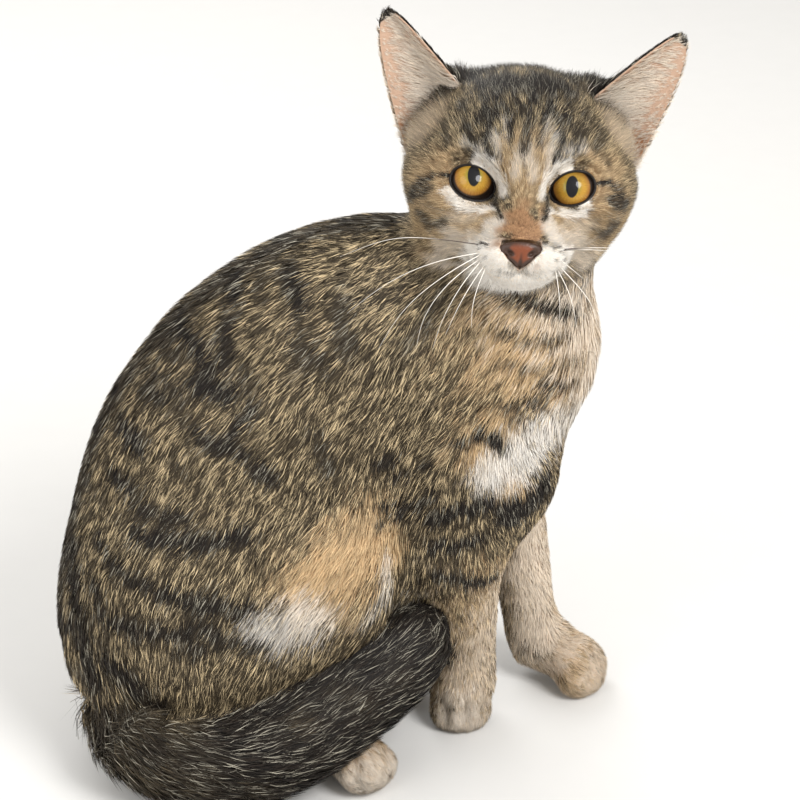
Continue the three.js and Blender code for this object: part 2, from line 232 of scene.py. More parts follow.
# On the face, in the head's l and u: half of the pattern, mirrored at the nose's middle.
FACE_STROKES: dict[Tone, list[Stroke]] = {
    Tone.DARK: strokes(
        (1.3, 1.0, (11.2, 8.5), (12.8, 12.5), (12.3, 17), (10, 23)),
        (1.1, 0.95, (4.6, 12), (5.2, 20), (6.5, 26)),
        (1.0, 0.85, (0.7, 10.5), (1.0, 16), (1.3, 27)),
        (1.2, 0.75, (18, 12.5), (17.5, 17.5), (14, 23)),
        (1.5, 0.95, (3, 27), (3.6, 37)),
        (1.6, 0.95, (8, 25), (9, 36)),
        (1.6, 0.9, (13, 22), (15, 33)),
        (1.4, 0.65, (20, 17), (21, 27)),
        (1.3, 0.5, (25, 13), (26, 21)),
        (1.2, 1.0, (23.0, 2.6), (29.5, 2.8), (33, 0), (36, -4)),
        (1.5, 0.85, (30, -1.5), (35, -6)),
        (1.0, 0.55, (23, -9), (29, -9), (33, -4)),
        (1.5, 0.75, (24, -13), (28.5, -15), (33, -10)),
        (1.0, 1.0, (9.2, -3.6), (8.6, -7), (7.6, -11)),
        (4.5, 0.85, (0, 35), (15, 34)),
        (0.9, 0.4, (0, -29), (3.5, -30.4), (7.5, -29.6)),
        (0.5, 1.0, (13.5, -19.7), (13.8, -19.7)),
        (0.5, 0.9, (12.0, -20.3), (12.2, -20.3)),
        (0.5, 1.0, (14.0, -21.6), (14.2, -21.6)),
        (0.5, 0.9, (15.0, -24.6), (15.2, -24.6)),
        (0.5, 0.8, (12.2, -24.9), (12.4, -24.9)),
    ),
    Tone.PALE: strokes(
        (1.4, 0.85, (24, -3), (19.5, -7.6), (12.5, -8.4), (9.5, -7.5)),
        (1.4, 0.85, (15.5, 7.8), (11.3, 5.8), (7.7, 1.1), (6.3, -3.4)),
        (1.6, 0.35, (20, 13), (14, 10.5)),
        (4.2, 1.0, (14.5, -22.5), (8.5, -29.5), (0, -33.5)),
        (4.8, 1.0, (8, -24), (4.5, -31)),
        (2.6, 0.6, (8.4, -12), (13, -18)),
        (1.0, 0.45, (6.8, 21), (4.8, 12.5)),
        (1.3, 0.4, (9.6, 16), (8.6, 7)),
        (4.5, 0.4, (17, -18), (24, -22)),
        (2.5, 0.2, (16, -11), (23, -12)),
        (2.0, 0.35, (1.5, 11), (3, 3)),
    ),
    Tone.WARM: strokes(
        (6.0, 0.5, (11, -10), (17, -14), (24, -20)),
        (6.0, 0.45, (0, 2), (0, -6)),
        (5.0, 0.5, (3, 14), (7, 3)),
        (8.0, 0.5, (28, 4), (29, -8), (24, -18)),
    ),
    Tone.RUST: strokes((6.4, 0.95, (0, -12.5), (0, -16), (0, -20))),
}

# On the body, in the frame that mirrors at y = 0. The right side is at negative y.
BODY_STROKES: dict[Tone, list[Stroke]] = {
    Tone.DARK: strokes(
        (2.5, 0.9, (25, -35, 186), (35, -33, 182), (46, -31, 177), (58, -24, 171)),
        (2.0, 0.6, (29, -34, 171), (41, -34, 166), (54, -28, 164)),
        (2.0, 0.5, (29, -35, 160), (44, -33, 155), (61, -24, 154)),
        (2.3, 0.65, (41, -35, 143), (50, -30, 144), (58, -24, 145)),
        (2.0, 0.75, (44, -33, 149), (50, -30, 147)),
        (2.5, 0.6, (29, -36, 145), (35, -36, 139)),
        (3.4, 1.0, (23, -39, 135), (28, -40, 131)),
        (1.9, 0.8, (13, -38, 130), (23, -39, 135)),
        (3.0, 0.65, (-14, -40, 128), (-9, -40, 128)),
        (1.8, 0.85, (-14, -40, 110), (1, -35, 108)),
        (1.7, 0.7, (-8, -39, 120), (4, -37, 123)),
        (3.0, 1.0, (5, -35, 101), (14, -40, 106), (23, -43, 110)),
        (2.7, 1.0, (5, -36, 89), (12, -39, 91), (20, -41, 95)),
        (2.4, 1.0, (7, -39, 80), (18, -39, 76), (29, -33, 73)),
        (2.0, 0.8, (-15, -43, 104), (-4, -36, 105), (6, -37, 110)),
        (3.6, 1.0, (29, -42, 101), (36, -42, 104), (41, -42, 111)),
        (2.6, 0.9, (14, -26, 42), (13, -22, 31)),
        (1.0, 0.75, (11, -22, 11), (17, -25, 12)),
        (1.6, 0.6, (44, 4, 22), (50, 2, 17), (54, -2, 15)),
        (4.5, 0.8, (-74, -26, 157), (-64, -32, 154)),
        (3.5, 0.6, (-61, -19, 175), (-65, -27, 164)),
        (3.5, 0.45, (-41, -32, 170), (-31, -37, 165)),
        (3.5, 0.65, (-57, -36, 151), (-65, -38, 138), (-51, -43, 126)),
        (3.5, 0.6, (-75, -34, 141), (-67, -38, 136)),
        (4.0, 0.55, (-90, -15, 151), (-84, -23, 149)),
        (3.5, 0.6, (-95, -31, 113), (-81, -40, 112)),
        (4.0, 0.7, (-98, -34, 104), (-79, -44, 104), (-62, -46, 107)),
        (4.0, 0.65, (-105, -33, 91), (-87, -48, 86), (-64, -53, 83)),
        (4.0, 0.65, (-113, -31, 72), (-94, -47, 72), (-74, -53, 75)),
        (3.0, 0.55, (-88, -50, 65), (-68, -54, 70), (-57, -54, 67)),
        (5.0, 0.65, (-111, -35, 55), (-94, -43, 38)),
        (6.0, 0.6, (-119, -10, 88), (-118, -26, 51), (-113, -43, 20)),
        (4.0, 0.45, (-25, -28, 184), (-23, -36, 169)),
        (4.0, 0.5, (-84, 2, 164), (-80, -14, 163)),
        (4.0, 0.4, (-48, -7, 189), (-50, -18, 182)),
        (3.5, 0.45, (-38, -41, 143), (-30, -43, 128)),
        (4.6, 1.0, (29, -43, 107), (36, -44, 105), (43, -39, 112)),
        (2.8, 0.95, (32, 35, 112), (44, 36, 108)),
        (2.6, 0.9, (34, 36, 96), (50, 33, 94)),
        (2.2, 0.8, (38, 35, 82), (54, 30, 80)),
        (2.0, 0.5, (42, 32, 66), (56, 27, 66)),
        (3.0, 0.9, (10, 38, 132), (26, 40, 136)),
    ),
    Tone.PALE: strokes(
        (7.5, 0.58, (-56, -55, 73), (-49, -55, 75), (-40, -56, 79)),
        (3.0, 0.5, (-11, -48, 96), (-13, -50, 84), (-22, -52, 76)),
        (7.5, 0.8, (62, -10, 132), (46, -35, 132), (35, -41, 127), (26, -43, 120)),
        (16.0, 0.8, (70, 0, 140), (62, 10, 120), (50, 0, 100)),
        (14.0, 0.5, (55, 5, 95), (54, 7, 48), (57, 2, 20)),
        (12.0, 0.35, (28, -20, 66), (24, -22, 20)),
        (21.0, 0.5, (52, -20, 178), (60, -16, 164), (64, -12, 148)),
        (13.0, 0.45, (66, 4, 10), (80, -4, 8)),
        (7.0, 0.45, (20, -12, 60), (24, -10, 30)),
        (9.0, 0.6, (20, -22, 10), (19, -28, 5)),
        (11.0, 0.6, (-32, -50, 6), (-14, -56, 6)),
        (12.0, 0.8, (-6, 10, 8), (12, 10, 8)),
        (22.0, 0.5, (0, 0, 66), (-30, 0, 52)),
    ),
    Tone.WARM: strokes(
        (13.0, 0.95, (-38, -53, 88), (-30, -52, 93), (-19, -49, 100)),
        (5.0, 0.8, (-13, -41, 103), (-8, -41, 93)),
        (24.0, 0.95, (43, -33, 166), (57, -26, 155), (62, 0, 160)),
        (8.0, 0.75, (30, -39, 139), (20, -40, 128)),
        (5.0, 0.8, (32, -44, 110), (31, -42, 116)),
        (10.0, 0.5, (52, 7, 70), (49, 6, 35)),
        (4.0, 0.7, (50, 2, 20), (56, -2, 16)),
        (14.0, 0.4, (-60, 20, 20), (-30, 0, 20)),
        (15.0, 0.75, (24, -22, 74), (22, -22, 18)),
        (16.0, 0.95, (52, 7, 92), (56, 5, 40), (60, 2, 18), (74, -4, 10)),
        (10.0, 0.8, (22, -22, 18), (20, -26, 6)),
        (14.0, 0.75, (-30, -50, 18), (-16, -54, 10)),
    ),
    Tone.RUST: strokes(),
}


def covered(strokes: list[Stroke], points: Array, waver: Array) -> Array:
    """How much of the strongest of some strokes each point gets.

    Args:
        strokes: the strokes.
        points: places in the frame of their lines.
        waver: an unevenness that makes their edges ragged.

    Returns:
        One share for each point.
    """
    cover = np.zeros(len(points))
    for stroke in strokes:
        cover = np.maximum(cover, stroke.cover(points, waver))
    return cover


@dataclass(frozen=True)
class MarkingsAndCreaseShade:
    """The kitten's pattern, with painted shade in the creases between its toes, read at any point
    of its skin or coat.
    """

    head: HeadFrame
    head_edge: float = -30.0
    middle: float = -0.7
    hub: tuple[float, float] = (-35.0, 85.0)

    def face(self, tone: Tone, spots: Array, waver: Array) -> Array:
        """One tone of the face's pattern, the same on both sides of the nose.

        Args:
            tone: the tone.
            spots: places in the head's frame.
            waver: an unevenness that makes its edges ragged.

        Returns:
            One share for each place.
        """
        flat = np.stack([np.abs(spots[:, 1] - self.middle), spots[:, 2]], 1)
        return covered(FACE_STROKES[tone], flat, waver)

    def flank(self, spots: Array) -> Array:
        """The faint broken bars that run down from the back, and the dark line along it.

        Args:
            spots: places in the frame that mirrors at y = 0.

        Returns:
            How dark each place is, from 0 to 1.
        """
        forward, high = spots[:, 0] - self.hub[0], spots[:, 2] - self.hub[1]
        angle = np.arctan2(high, forward)
        reach = np.hypot(high, forward)
        bars = np.sin(angle * 31 + 1.6 * mottle(spots, 34, 3) + 0.02 * reach)
        broken = ramp(mottle(spots, 17, 4), -0.7, 0.5)
        behind = ramp(spots[:, 0], 25, 0) * ramp(reach, 18, 40)
        back = ramp(np.abs(spots[:, 1]), 11, 3) * ramp(reach, 60, 76) * ramp(angle, 0.9, 1.3)
        low_back = ramp(np.abs(spots[:, 1]), 14, 5) * ramp(spots[:, 0], -95, -108)
        lines = 0.95 * ramp(bars, 0.0, 0.7) * broken * behind * ramp(spots[:, 1], -47, -20)
        return np.maximum(lines, 0.6 * np.maximum(back, low_back))

    def read(self, points: Array, tail: Array, head_share: Array) -> Array:
        """The pattern at some points, with painted shade in the creases between the toes.

        Args:
            points: places on or near the skin, in the model's frame.
            tail: how much each belongs to the tail, from 0 to 1.
            head_share: how much each belongs to the head.

        Returns:
            The share of each tone at each point.
        """
        spots = in_body(points)
        faces = self.head.into(points)
        waver = mottle(points, 3.4, 5)
        front = head_share * ramp(faces[:, 0], self.head_edge, self.head_edge + 8)
        ragged = waver + 1.1 * mottle(points, 1.6, 9)
        tones = []
        for tone in Tone:
            gain, edge = (1.3, waver) if tone is Tone.DARK else (1.0, ragged)
            cover = covered(BODY_STROKES[tone], spots, edge)
            tones.append(np.minimum(gain * cover, 1) * (1 - head_share) * (1 - tail))
        dark, pale, warm, rust = tones
        dark = np.maximum(dark, self.flank(spots) * (1 - head_share) * (1 - tail))
        dark *= 1 - 0.85 * ramp(np.maximum(pale, 0.7 * warm), 0.5, 0.9) * ramp(spots[:, 0], 0, -10)
        dark = np.maximum(dark, front * self.face(Tone.DARK, faces, waver))
        crown = head_share * ramp(faces[:, 0], -14, -24) * ramp(faces[:, 2], 14, 26)
        dark = np.maximum(dark, crown * (0.95 + 0.3 * mottle(points, 6, 6)))
        # painted shade: the creases between the toes are darkened as shade in their hollows
        for crease in CREASES:
            gap, _ = to_line(spots, crease)
            dark = np.maximum(dark, 0.55 * ramp(gap, 1.5, 0.4))
        tail_dark = (0.98 + 0.2 * mottle(points, 9, 7)) * (1 - 0.4 * ramp(spots[:, 0], -60, -95))
        dark = np.maximum(dark, tail * tail_dark)
        by_ear = head_share * ramp(far(mirrored(faces) - (-19, 31, 20)), 13, 5)
        warm = np.maximum(warm, 0.55 * by_ear)
        pale = np.maximum(pale, 0.2 * by_ear)
        pale = np.maximum(pale, front * self.face(Tone.PALE, faces, waver))
        warm = np.maximum(warm, front * self.face(Tone.WARM, faces, waver))
        rust = np.maximum(rust, front * self.face(Tone.RUST, faces, waver))
        jaw = head_share * ramp(faces[:, 2], -27, -33) * ramp(faces[:, 0], -12, 0)
        pale = np.maximum(pale, 0.9 * jaw)
        pale *= 1 - ramp(dark, 0.25, 0.8)
        return np.clip(np.stack([dark, pale, warm, rust], 1), 0, 1)


# ---- Shader maths ----


class Wire:
    """One output of a node, on which sums are written as on a number."""

    def __init__(self, graph: "Graph", socket: bpy.types.NodeSocket) -> None:
        """Keeps the socket and the graph that it is part of."""
        self.graph = graph
        self.socket = socket

    def __add__(self, other: "Wire | float") -> "Wire":
        """Their sum."""
        return self.graph.sum("ADD", self, other)

    __radd__ = __add__

    def __sub__(self, other: "Wire | float") -> "Wire":
        """What is left of this one."""
        return self.graph.sum("SUBTRACT", self, other)

    def __rsub__(self, other: "Wire | float") -> "Wire":
        """What is left of the other one."""
        return self.graph.sum("SUBTRACT", other, self)

    def __mul__(self, other: "Wire | float") -> "Wire":
        """Their product."""
        return self.graph.sum("MULTIPLY", self, other)

    __rmul__ = __mul__

    def __truediv__(self, other: "Wire | float") -> "Wire":
        """Their quotient."""
        return self.graph.sum("DIVIDE", self, other)


class Graph:
    """The nodes of one material."""

    def __init__(self, name: str) -> None:
        """Starts a new material with its output only.

        Args:
            name: the material's name.
        """
        self.material = bpy.data.materials.new(name)
        self.material.use_nodes = True
        self.tree = self.material.node_tree
        self.tree.nodes.clear()
        self.end = self.tree.nodes.new("ShaderNodeOutputMaterial")

    def node(self, kind: str, settings: dict[str, Any], inputs: dict[Any, Any]) -> bpy.types.Node:
        """Any node.

        Args:
            kind: its type.
            settings: what is set on the node itself, first of all.
            inputs: values or wires, by the name or number of the socket.

        Returns:
            The node.
        """
        made = self.tree.nodes.new(kind)
        for key, value in settings.items():
            setattr(made, key, value)
        for key, value in inputs.items():
            if isinstance(value, Wire):
                self.tree.links.new(value.socket, made.inputs[key])
            else:
                made.inputs[key].default_value = value
        return made

    def sum(self, operation: str, *values: "Wire | float") -> Wire:
        """A Math node's operation on values and wires."""
        made = self.node("ShaderNodeMath", {"operation": operation}, dict(enumerate(values)))
        return Wire(self, made.outputs[0])

    def mix(self, share: "Wire | float", a: "Wire | Colour", b: "Wire | Colour") -> Wire:
        """A mix of two colours.

        Args:
            share: how much of the second one is in it, from 0 to 1.
            a: the first colour.
            b: the second one.

        Returns:
            The mixed colour's wire.
        """
        made = self.node(
            "ShaderNodeMix", {"data_type": "RGBA", "clamp_factor": True}, {0: share, 6: a, 7: b}
        )
        return Wire(self, made.outputs[2])

    def ramp(self, value: Wire, low: float, high: float) -> Wire:
        """A smooth step.

        Args:
            value: what it follows.
            low: where it is 0.
            high: where it is 1, also below low.

        Returns:
            The step's wire.
        """
        made = self.node(
            "ShaderNodeMapRange",
            {"interpolation_type": "SMOOTHSTEP"},
            {0: value, 1: low, 2: high, 3: 0.0, 4: 1.0},
        )
        return Wire(self, made.outputs[0])

    def attribute(self, name: str) -> list[Wire]:
        """The four numbers of a colour attribute.

        Args:
            name: the attribute's name.

        Returns:
            Their wires, in order.
        """
        read = self.node("ShaderNodeAttribute", {"attribute_name": name}, {})
        split = self.node("ShaderNodeSeparateColor", {}, {0: Wire(self, read.outputs["Color"])})
        return [Wire(self, output) for output in (*split.outputs, read.outputs["Alpha"])]

    def place(self) -> Wire:
        """The object's own coordinates, in metres."""
        return Wire(self, self.node("ShaderNodeTexCoord", {}, {}).outputs["Object"])

    def noise(self, scale: float, detail: float = 2.0, place: Wire | None = None) -> Wire:
        """Even noise.

        Args:
            scale: how fine it is.
            detail: how many finer layers it has.
            place: what it is read on, the object's own coordinates by default.

        Returns:
            Its wire.
        """
        inputs = {"Vector": place or self.place(), "Scale": scale, "Detail": detail}
        return Wire(self, self.node("ShaderNodeTexNoise", {}, inputs).outputs[0])

    def bump(self, height: Wire, strength: float, distance: float) -> Wire:
        """A bump for a shader's Normal.

        Args:
            height: what stands up.
            strength: how much of it shows.
            distance: how high it is, in metres.

        Returns:
            The normal's wire.
        """
        made = self.node(
            "ShaderNodeBump", {}, {"Strength": strength, "Distance": distance, "Height": height}
        )
        return Wire(self, made.outputs[0])

    def surface(self, **inputs: Any) -> bpy.types.Material:
        """Closes the graph with one shader.

        Args:
            **inputs: values or wires, by the socket's name with _ for a space.

        Returns:
            The finished material.
        """
        named = {key.replace("_", " "): value for key, value in inputs.items()}
        shader = self.node("ShaderNodeBsdfPrincipled", {}, named)
        self.tree.links.new(shader.outputs[0], self.end.inputs[0])
        return self.material


def tint(red: float, green: float, blue: float) -> Colour:
    """A colour from the numbers 0 to 255 of a screen, as light."""
    return (*(((c / 255 + 0.055) / 1.055) ** 2.4 for c in (red, green, blue)), 1.0)


@dataclass(frozen=True)
class Pelage:
    """The colours of the coat: each hair is ringed, and its pattern goes over that. Hairs are
    darker at the root, partly their own colour and partly painted shade between them.
    """

    # under: the dark root of each hair, partly the undercoat's own colour and partly painted shade
    # between the hairs
    under: Colour = tint(38, 30, 21)
    band: Colour = tint(232, 208, 165)
    ending: Colour = tint(36, 28, 20)
    black: Colour = tint(24, 20, 18)
    black_light: Colour = tint(66, 54, 44)
    cream: Colour = tint(255, 250, 242)
    # the _shade colours are painted shade at the roots of white, gold and rust hairs, between the
    # hairs
    cream_shade: Colour = tint(244, 227, 203)
    frost: Colour = tint(202, 195, 176)
    buff: Colour = tint(240, 206, 158)
    buff_shade: Colour = tint(206, 156, 104)
    rust: Colour = tint(200, 156, 114)
    rust_shade: Colour = tint(116, 80, 54)
    # painted shade: the near black that some hairs are darkened towards, as if they lay deeper in
    # the coat
    depth: Colour = (0.02, 0.015, 0.01, 1.0)

    def coloured(self, graph: Graph, along: Wire, chance: Wire, shade: Wire) -> Wire:
        """The colour of a hair.

        Args:
            graph: the material's graph.
            along: where on the hair, from 0 at its root to 1 at its tip.
            chance: a random number for each tuft, which makes some light and some dark.
            shade: another one, for slight differences; it also darkens some hairs towards near
                black, as painted shade of hairs lying deeper in the coat.

        Returns:
            The colour's wire.
        """
        dark, pale, warm, rusty = graph.attribute("marks")
        light = graph.ramp(chance, 0.54, 0.84)
        # hairs are darker towards the root: partly their own colour, partly painted shade between
        # the hairs
        ring = graph.ramp(along, 0.2, 0.55) * (1 - graph.ramp(along + 0.25 * shade, 0.9, 1.16))
        base = graph.mix(ring * (0.06 + 0.94 * light), self.under, self.band)
        base = graph.mix(graph.ramp(along, 0.8, 1.05) * (1 - light) * 0.8, base, self.ending)
        # white, gold and rust hairs take their _shade colours towards the root: painted shade
        # between the hairs, spread at random
        white = graph.mix(graph.ramp(along + 0.3 * shade, 0.1, 0.6), self.cream_shade, self.cream)
        gold = graph.mix(graph.ramp(along + 0.5 * shade, 0.1, 0.9), self.buff_shade, self.buff)
        brick = graph.mix(graph.ramp(along + 0.5 * shade, 0.2, 1.2), self.rust_shade, self.rust)
        night = graph.mix(graph.ramp(chance, 0.76, 0.95) * ring * 0.8, self.black, self.frost)
        night = graph.mix(graph.ramp(shade, 0.5, 1.0) * 0.5, night, self.black_light)
        base = graph.mix(warm * (0.75 + 0.25 * light), base, gold)
        base = graph.mix(pale, base, white)
        base = graph.mix(rusty, base, brick)
        base = graph.mix(graph.ramp(dark + 0.36 * light - 0.2, 0.15, 0.75), base, night)
        # painted shade: some hairs darkened towards near black, as if lying deeper in the coat
        return graph.mix(0.22 * shade, base, self.depth)


@dataclass(frozen=True)
class CoatFinish:
    """Dry, soft hair with a faint sheen."""

    pelage: Pelage = Pelage()
    roughness: float = 0.62

    def material(self) -> bpy.types.Material:
        """The material of every tuft.

        Returns:
            The material.
        """
        graph = Graph("coat")
        along, chance, shade, _ = graph.attribute("hair")
        return graph.surface(
            Base_Color=self.pelage.coloured(graph, along, chance, shade),
            Roughness=self.roughness,
            Specular_IOR_Level=0.25,
        )


@dataclass(frozen=True)
class SkinFinish:
    """The skin under the coat: short flat fur as bump and speckle, bare skin in the ears."""

    pelage: Pelage = Pelage()
    bare: Colour = tint(184, 154, 132)
    bare_deep: Colour = tint(162, 114, 78)
    rim: Colour = tint(22, 17, 16)

    def material(self) -> bpy.types.Material:
        """The skin's material, which reads the same pattern as the coat.

        Returns:
            The material.
        """
        graph = Graph("skin")
        rim, bare, rust, _ = graph.attribute("parts")
        speck = graph.noise(1900, 3)
        hairs = graph.noise(1200, 4)
        furred = self.pelage.coloured(graph, 0.25 + 0.5 * speck, hairs, 1.4 * speck - 0.2)
        pocket = graph.ramp(rust + 0.3 * graph.noise(220), 0.3, 1.0)
        deep = graph.mix(pocket, self.bare, self.bare_deep)
        colour = graph.mix(bare, furred, deep)
        colour = graph.mix(rim, colour, self.rim)
        return graph.surface(
            Base_Color=colour,
            Roughness=0.75 - 0.35 * rim,
            Normal=graph.bump(hairs, 0.5, 0.0006),
            Specular_IOR_Level=0.3,
        )


@dataclass(frozen=True)
class EyeFinish:
    """A wet ball: amber iris round an upright pupil, dark at its edge."""

    iris: float = 6.35
    pupil: tuple[float, float] = (1.95, 3.5)
    scale: float = 20.0
    core: Colour = tint(126, 116, 38)
    amber: Colour = tint(170, 129, 46)
    outer: Colour = tint(140, 92, 38)
    edge: Colour = tint(26, 17, 11)
    white: Colour = tint(34, 25, 22)
    bright: Colour = tint(226, 188, 92)
    brown: Colour = tint(112, 74, 20)
    # painted shadow of the upper lid over the iris
    lid_shade: Colour = tint(70, 54, 18)
    black: Colour = (0.003, 0.003, 0.004, 1.0)

    def material(self) -> bpy.types.Material:
        """The eye's material, on its gaze attribute.

        Returns:
            The material. The attribute holds the millimetres to the side of the gaze and
            above it, divided by the scale, with 0.5 straight ahead.
        """
        graph = Graph("eye")
        across, up, _, _ = graph.attribute("gaze")
        x = (across - 0.5) * self.scale
        y = (up - 0.5) * self.scale
        reach = graph.sum("SQRT", x * x + y * y)
        turn = graph.sum("ARCTAN2", y, x)
        spokes = self.spokes(graph, turn, reach)
        wide, tall = x / self.pupil[0], y / self.pupil[1]
        hole = graph.sum("SQRT", wide * wide + tall * tall)
        colour = graph.mix(graph.ramp(reach + 0.5 * spokes, 2.0, 4.0), self.core, self.amber)
        colour = graph.mix(graph.ramp(reach, 4.0, 6.2), colour, self.outer)
        colour = graph.mix(graph.ramp(spokes, 0.5, 0.9) * 0.35, colour, self.bright)
        colour = graph.mix(graph.ramp(spokes, 0.48, 0.2) * 0.6, colour, self.brown)
        # painted shadow of the upper lid: the iris darker towards its top
        colour = graph.mix(graph.ramp(y, 0.5, 5.0) * 0.45, colour, self.lid_shade)
        colour = graph.mix(graph.ramp(reach, self.iris - 0.7, self.iris), colour, self.edge)
        colour = graph.mix(graph.ramp(reach, self.iris + 0.5, self.iris + 1.2), colour, self.white)
        colour = graph.mix(1 - graph.ramp(hole, 0.92, 1.06), colour, self.black)
        return graph.surface(
            Base_Color=colour,
            Roughness=0.5,
            Coat_Weight=0.55,
            Coat_Roughness=0.02,
            Specular_IOR_Level=0.1,
        )

    def spokes(self, graph: Graph, turn: Wire, reach: Wire) -> Wire:
        """Fine fibres that run out from the pupil.

        Args:
            graph: the material's graph.
            turn: the angle round the gaze.
            reach: the distance from the gaze.

        Returns:
            Their wire, from 0 to 1.
        """
        polar = graph.node("ShaderNodeCombineXYZ", {}, {0: turn * 9.0, 1: reach * 0.5, 2: 0.0})
        return graph.noise(1.6, 3.0, Wire(graph, polar.outputs[0]))


@dataclass(frozen=True)
class NoseFinish:
    """Damp leather, brick red in its middle and darker at its rim, with painted shade in the
    nostrils and in the groove down its middle.
    """

    red: Colour = tint(116, 60, 34)
    dark: Colour = tint(60, 40, 29)

    def material(self) -> bpy.types.Material:
        """The nose's material.

        Returns:
            The material.
        """
        graph = Graph("nose")
        shade, _, _, _ = graph.attribute("parts")
        cells = graph.node("ShaderNodeTexVoronoi", {}, {"Vector": graph.place(), "Scale": 1500.0})
        # the parts attribute darkens the rim, and paints shade into the nostrils and the groove
        darker = graph.ramp(shade + 0.25 * graph.noise(700), 0.2, 0.95)
        return graph.surface(
            Base_Color=graph.mix(darker, self.red, self.dark),
            Roughness=0.42,
            Normal=graph.bump(Wire(graph, cells.outputs[0]), 0.25, 0.0003),
            Specular_IOR_Level=0.4,
        )


@dataclass(frozen=True)
class PlainFinish:
    """One smooth colour with a little unevenness, for the floor."""

    name: str
    colour: Colour
    roughness: float
    spread: float = 0.03

    def material(self) -> bpy.types.Material:
        """The finish as a material.

        Returns:
            The material.
        """
        graph = Graph(self.name)
        low = tuple(c * (1 - self.spread) for c in self.colour[:3]) + (1.0,)
        return graph.surface(
            Base_Color=graph.mix(graph.noise(60), low, self.colour), Roughness=self.roughness
        )


@dataclass(frozen=True)
class WhiskerFinish:
    """Smooth pale bristle, dark near the root on the upper ones."""

    pale: Colour = tint(236, 230, 220)
    dark: Colour = tint(58, 46, 38)

    def material(self) -> bpy.types.Material:
        """The whiskers' material."""
        graph = Graph("whisker")
        root, _, _, _ = graph.attribute("parts")
        return graph.surface(Base_Color=graph.mix(root, self.pale, self.dark), Roughness=0.35)


# ---- Meshes ----


def choose(*objects: Thing) -> None:
    """Selects these objects only, the first one active."""
    bpy.ops.object.select_all(action="DESELECT")
    for obj in objects:
        obj.select_set(True)
    bpy.context.view_layer.objects.active = objects[0]


def apply(obj: Thing, kind: str, **settings: Any) -> None:
    """Gives an object a modifier and applies it.

    Args:
        obj: the object.
        kind: the modifier's type.
        **settings: what is set on it first.
    """
    choose(obj)
    made = obj.modifiers.new(kind.title(), kind)
    for key, value in settings.items():
        setattr(made, key, value)
    bpy.ops.object.modifier_apply(modifier=made.name)


def place(obj: Thing, points: Array) -> None:
    """Moves a mesh's corners to points in millimetres."""
    obj.data.vertices.foreach_set("co", (points * MM).astype(np.float32).ravel())
    obj.data.update()


def paint(obj: Thing, name: str, values: Array) -> None:
    """Stores a colour attribute.

    Args:
        obj: a mesh object.
        name: the attribute's name.
        values: up to four numbers for each corner.
    """
    full = np.ones((len(values), 4), np.float32)
    full[:, : values.shape[1]] = values
    layer = obj.data.attributes.new(name, "FLOAT_COLOR", "POINT")
    layer.data.foreach_set("color", full.ravel())


def dress(obj: Thing, material: bpy.types.Material, slot: str, *nodes: str) -> None:
    """Finishes a piece, which rides on the model's one body.

    Args:
        obj: the piece.
        material: its material.
        slot: not used.
        *nodes: the nodes of the frame that it replaces.
    """
    obj.data.materials.clear()
    obj.data.materials.append(material)
    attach(obj, "root")
    if nodes:
        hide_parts(*nodes)
    LOG.info("%s: %d faces", obj.name, len(obj.data.polygons))


def grid(across: int, along: int) -> tuple[Thing, Array, Array]:
    """A new flat grid, to be rolled or bent into shape.

    Args:
        across: how many faces it has from side to side.
        along: how many from end to end.

    Returns:
        The grid, and the row and the step across of each of its corners.
    """
    bpy.ops.object.select_all(action="DESELECT")
    bpy.ops.mesh.primitive_grid_add(x_subdivisions=across, y_subdivisions=along, size=1)
    row, step = np.divmod(np.arange((across + 1) * (along + 1)), across + 1)
    return bpy.context.object, row, step


def close(obj: Thing, weld: float) -> None:
    """Closes a grid that was rolled into a tube, and turns its faces outwards.

    Args:
        obj: the grid.
        weld: how near corners are that become one, in metres.
    """
    bpy.ops.object.mode_set(mode="EDIT")
    bpy.ops.mesh.select_all(action="SELECT")
    bpy.ops.mesh.remove_doubles(threshold=weld)
    bpy.ops.mesh.select_all(action="DESELECT")
    bpy.ops.mesh.select_non_manifold(extend=False)
    bpy.ops.mesh.fill()
    bpy.ops.mesh.select_all(action="SELECT")
    bpy.ops.mesh.normals_make_consistent(inside=False)
    bpy.ops.object.mode_set(mode="OBJECT")


def rounded(stops: Array, count: int) -> Array:
    """A smooth line.

    Args:
        stops: the places that it is drawn through, before it is evened out.
        count: how many points it gets.

    Returns:
        Its points.
    """
    known = np.linspace(0, 1, len(stops))
    t = np.linspace(0, 1, count)
    line = np.stack([np.interp(t, known, stops[:, n]) for n in range(stops.shape[1])], 1)
    for _ in range(count):
        line[1:-1] = (line[:-2] + 2 * line[1:-1] + line[2:]) / 4
    return line


def swept(line: Array, radii: Array, sides: int) -> Thing:
    """A closed tube along a line.

    Args:
        line: its middle, in millimetres.
        radii: its radius at each point.
        sides: how many sides it has.

    Returns:
        The tube.
    """
    tube, row, step = grid(sides, len(line) - 1)
    way = unit(np.gradient(line, axis=0))
    side = unit(np.cross(way, [0.05, 0.1, 1]))
    over = np.cross(side, way)
    turn = 2 * math.pi * step / sides
    ring = side[row] * np.cos(turn)[:, None] + over[row] * np.sin(turn)[:, None]
    place(tube, line[row] + radii[row, None] * ring)
    close(tube, 0.000002)
    bpy.ops.object.shade_smooth()
    return tube


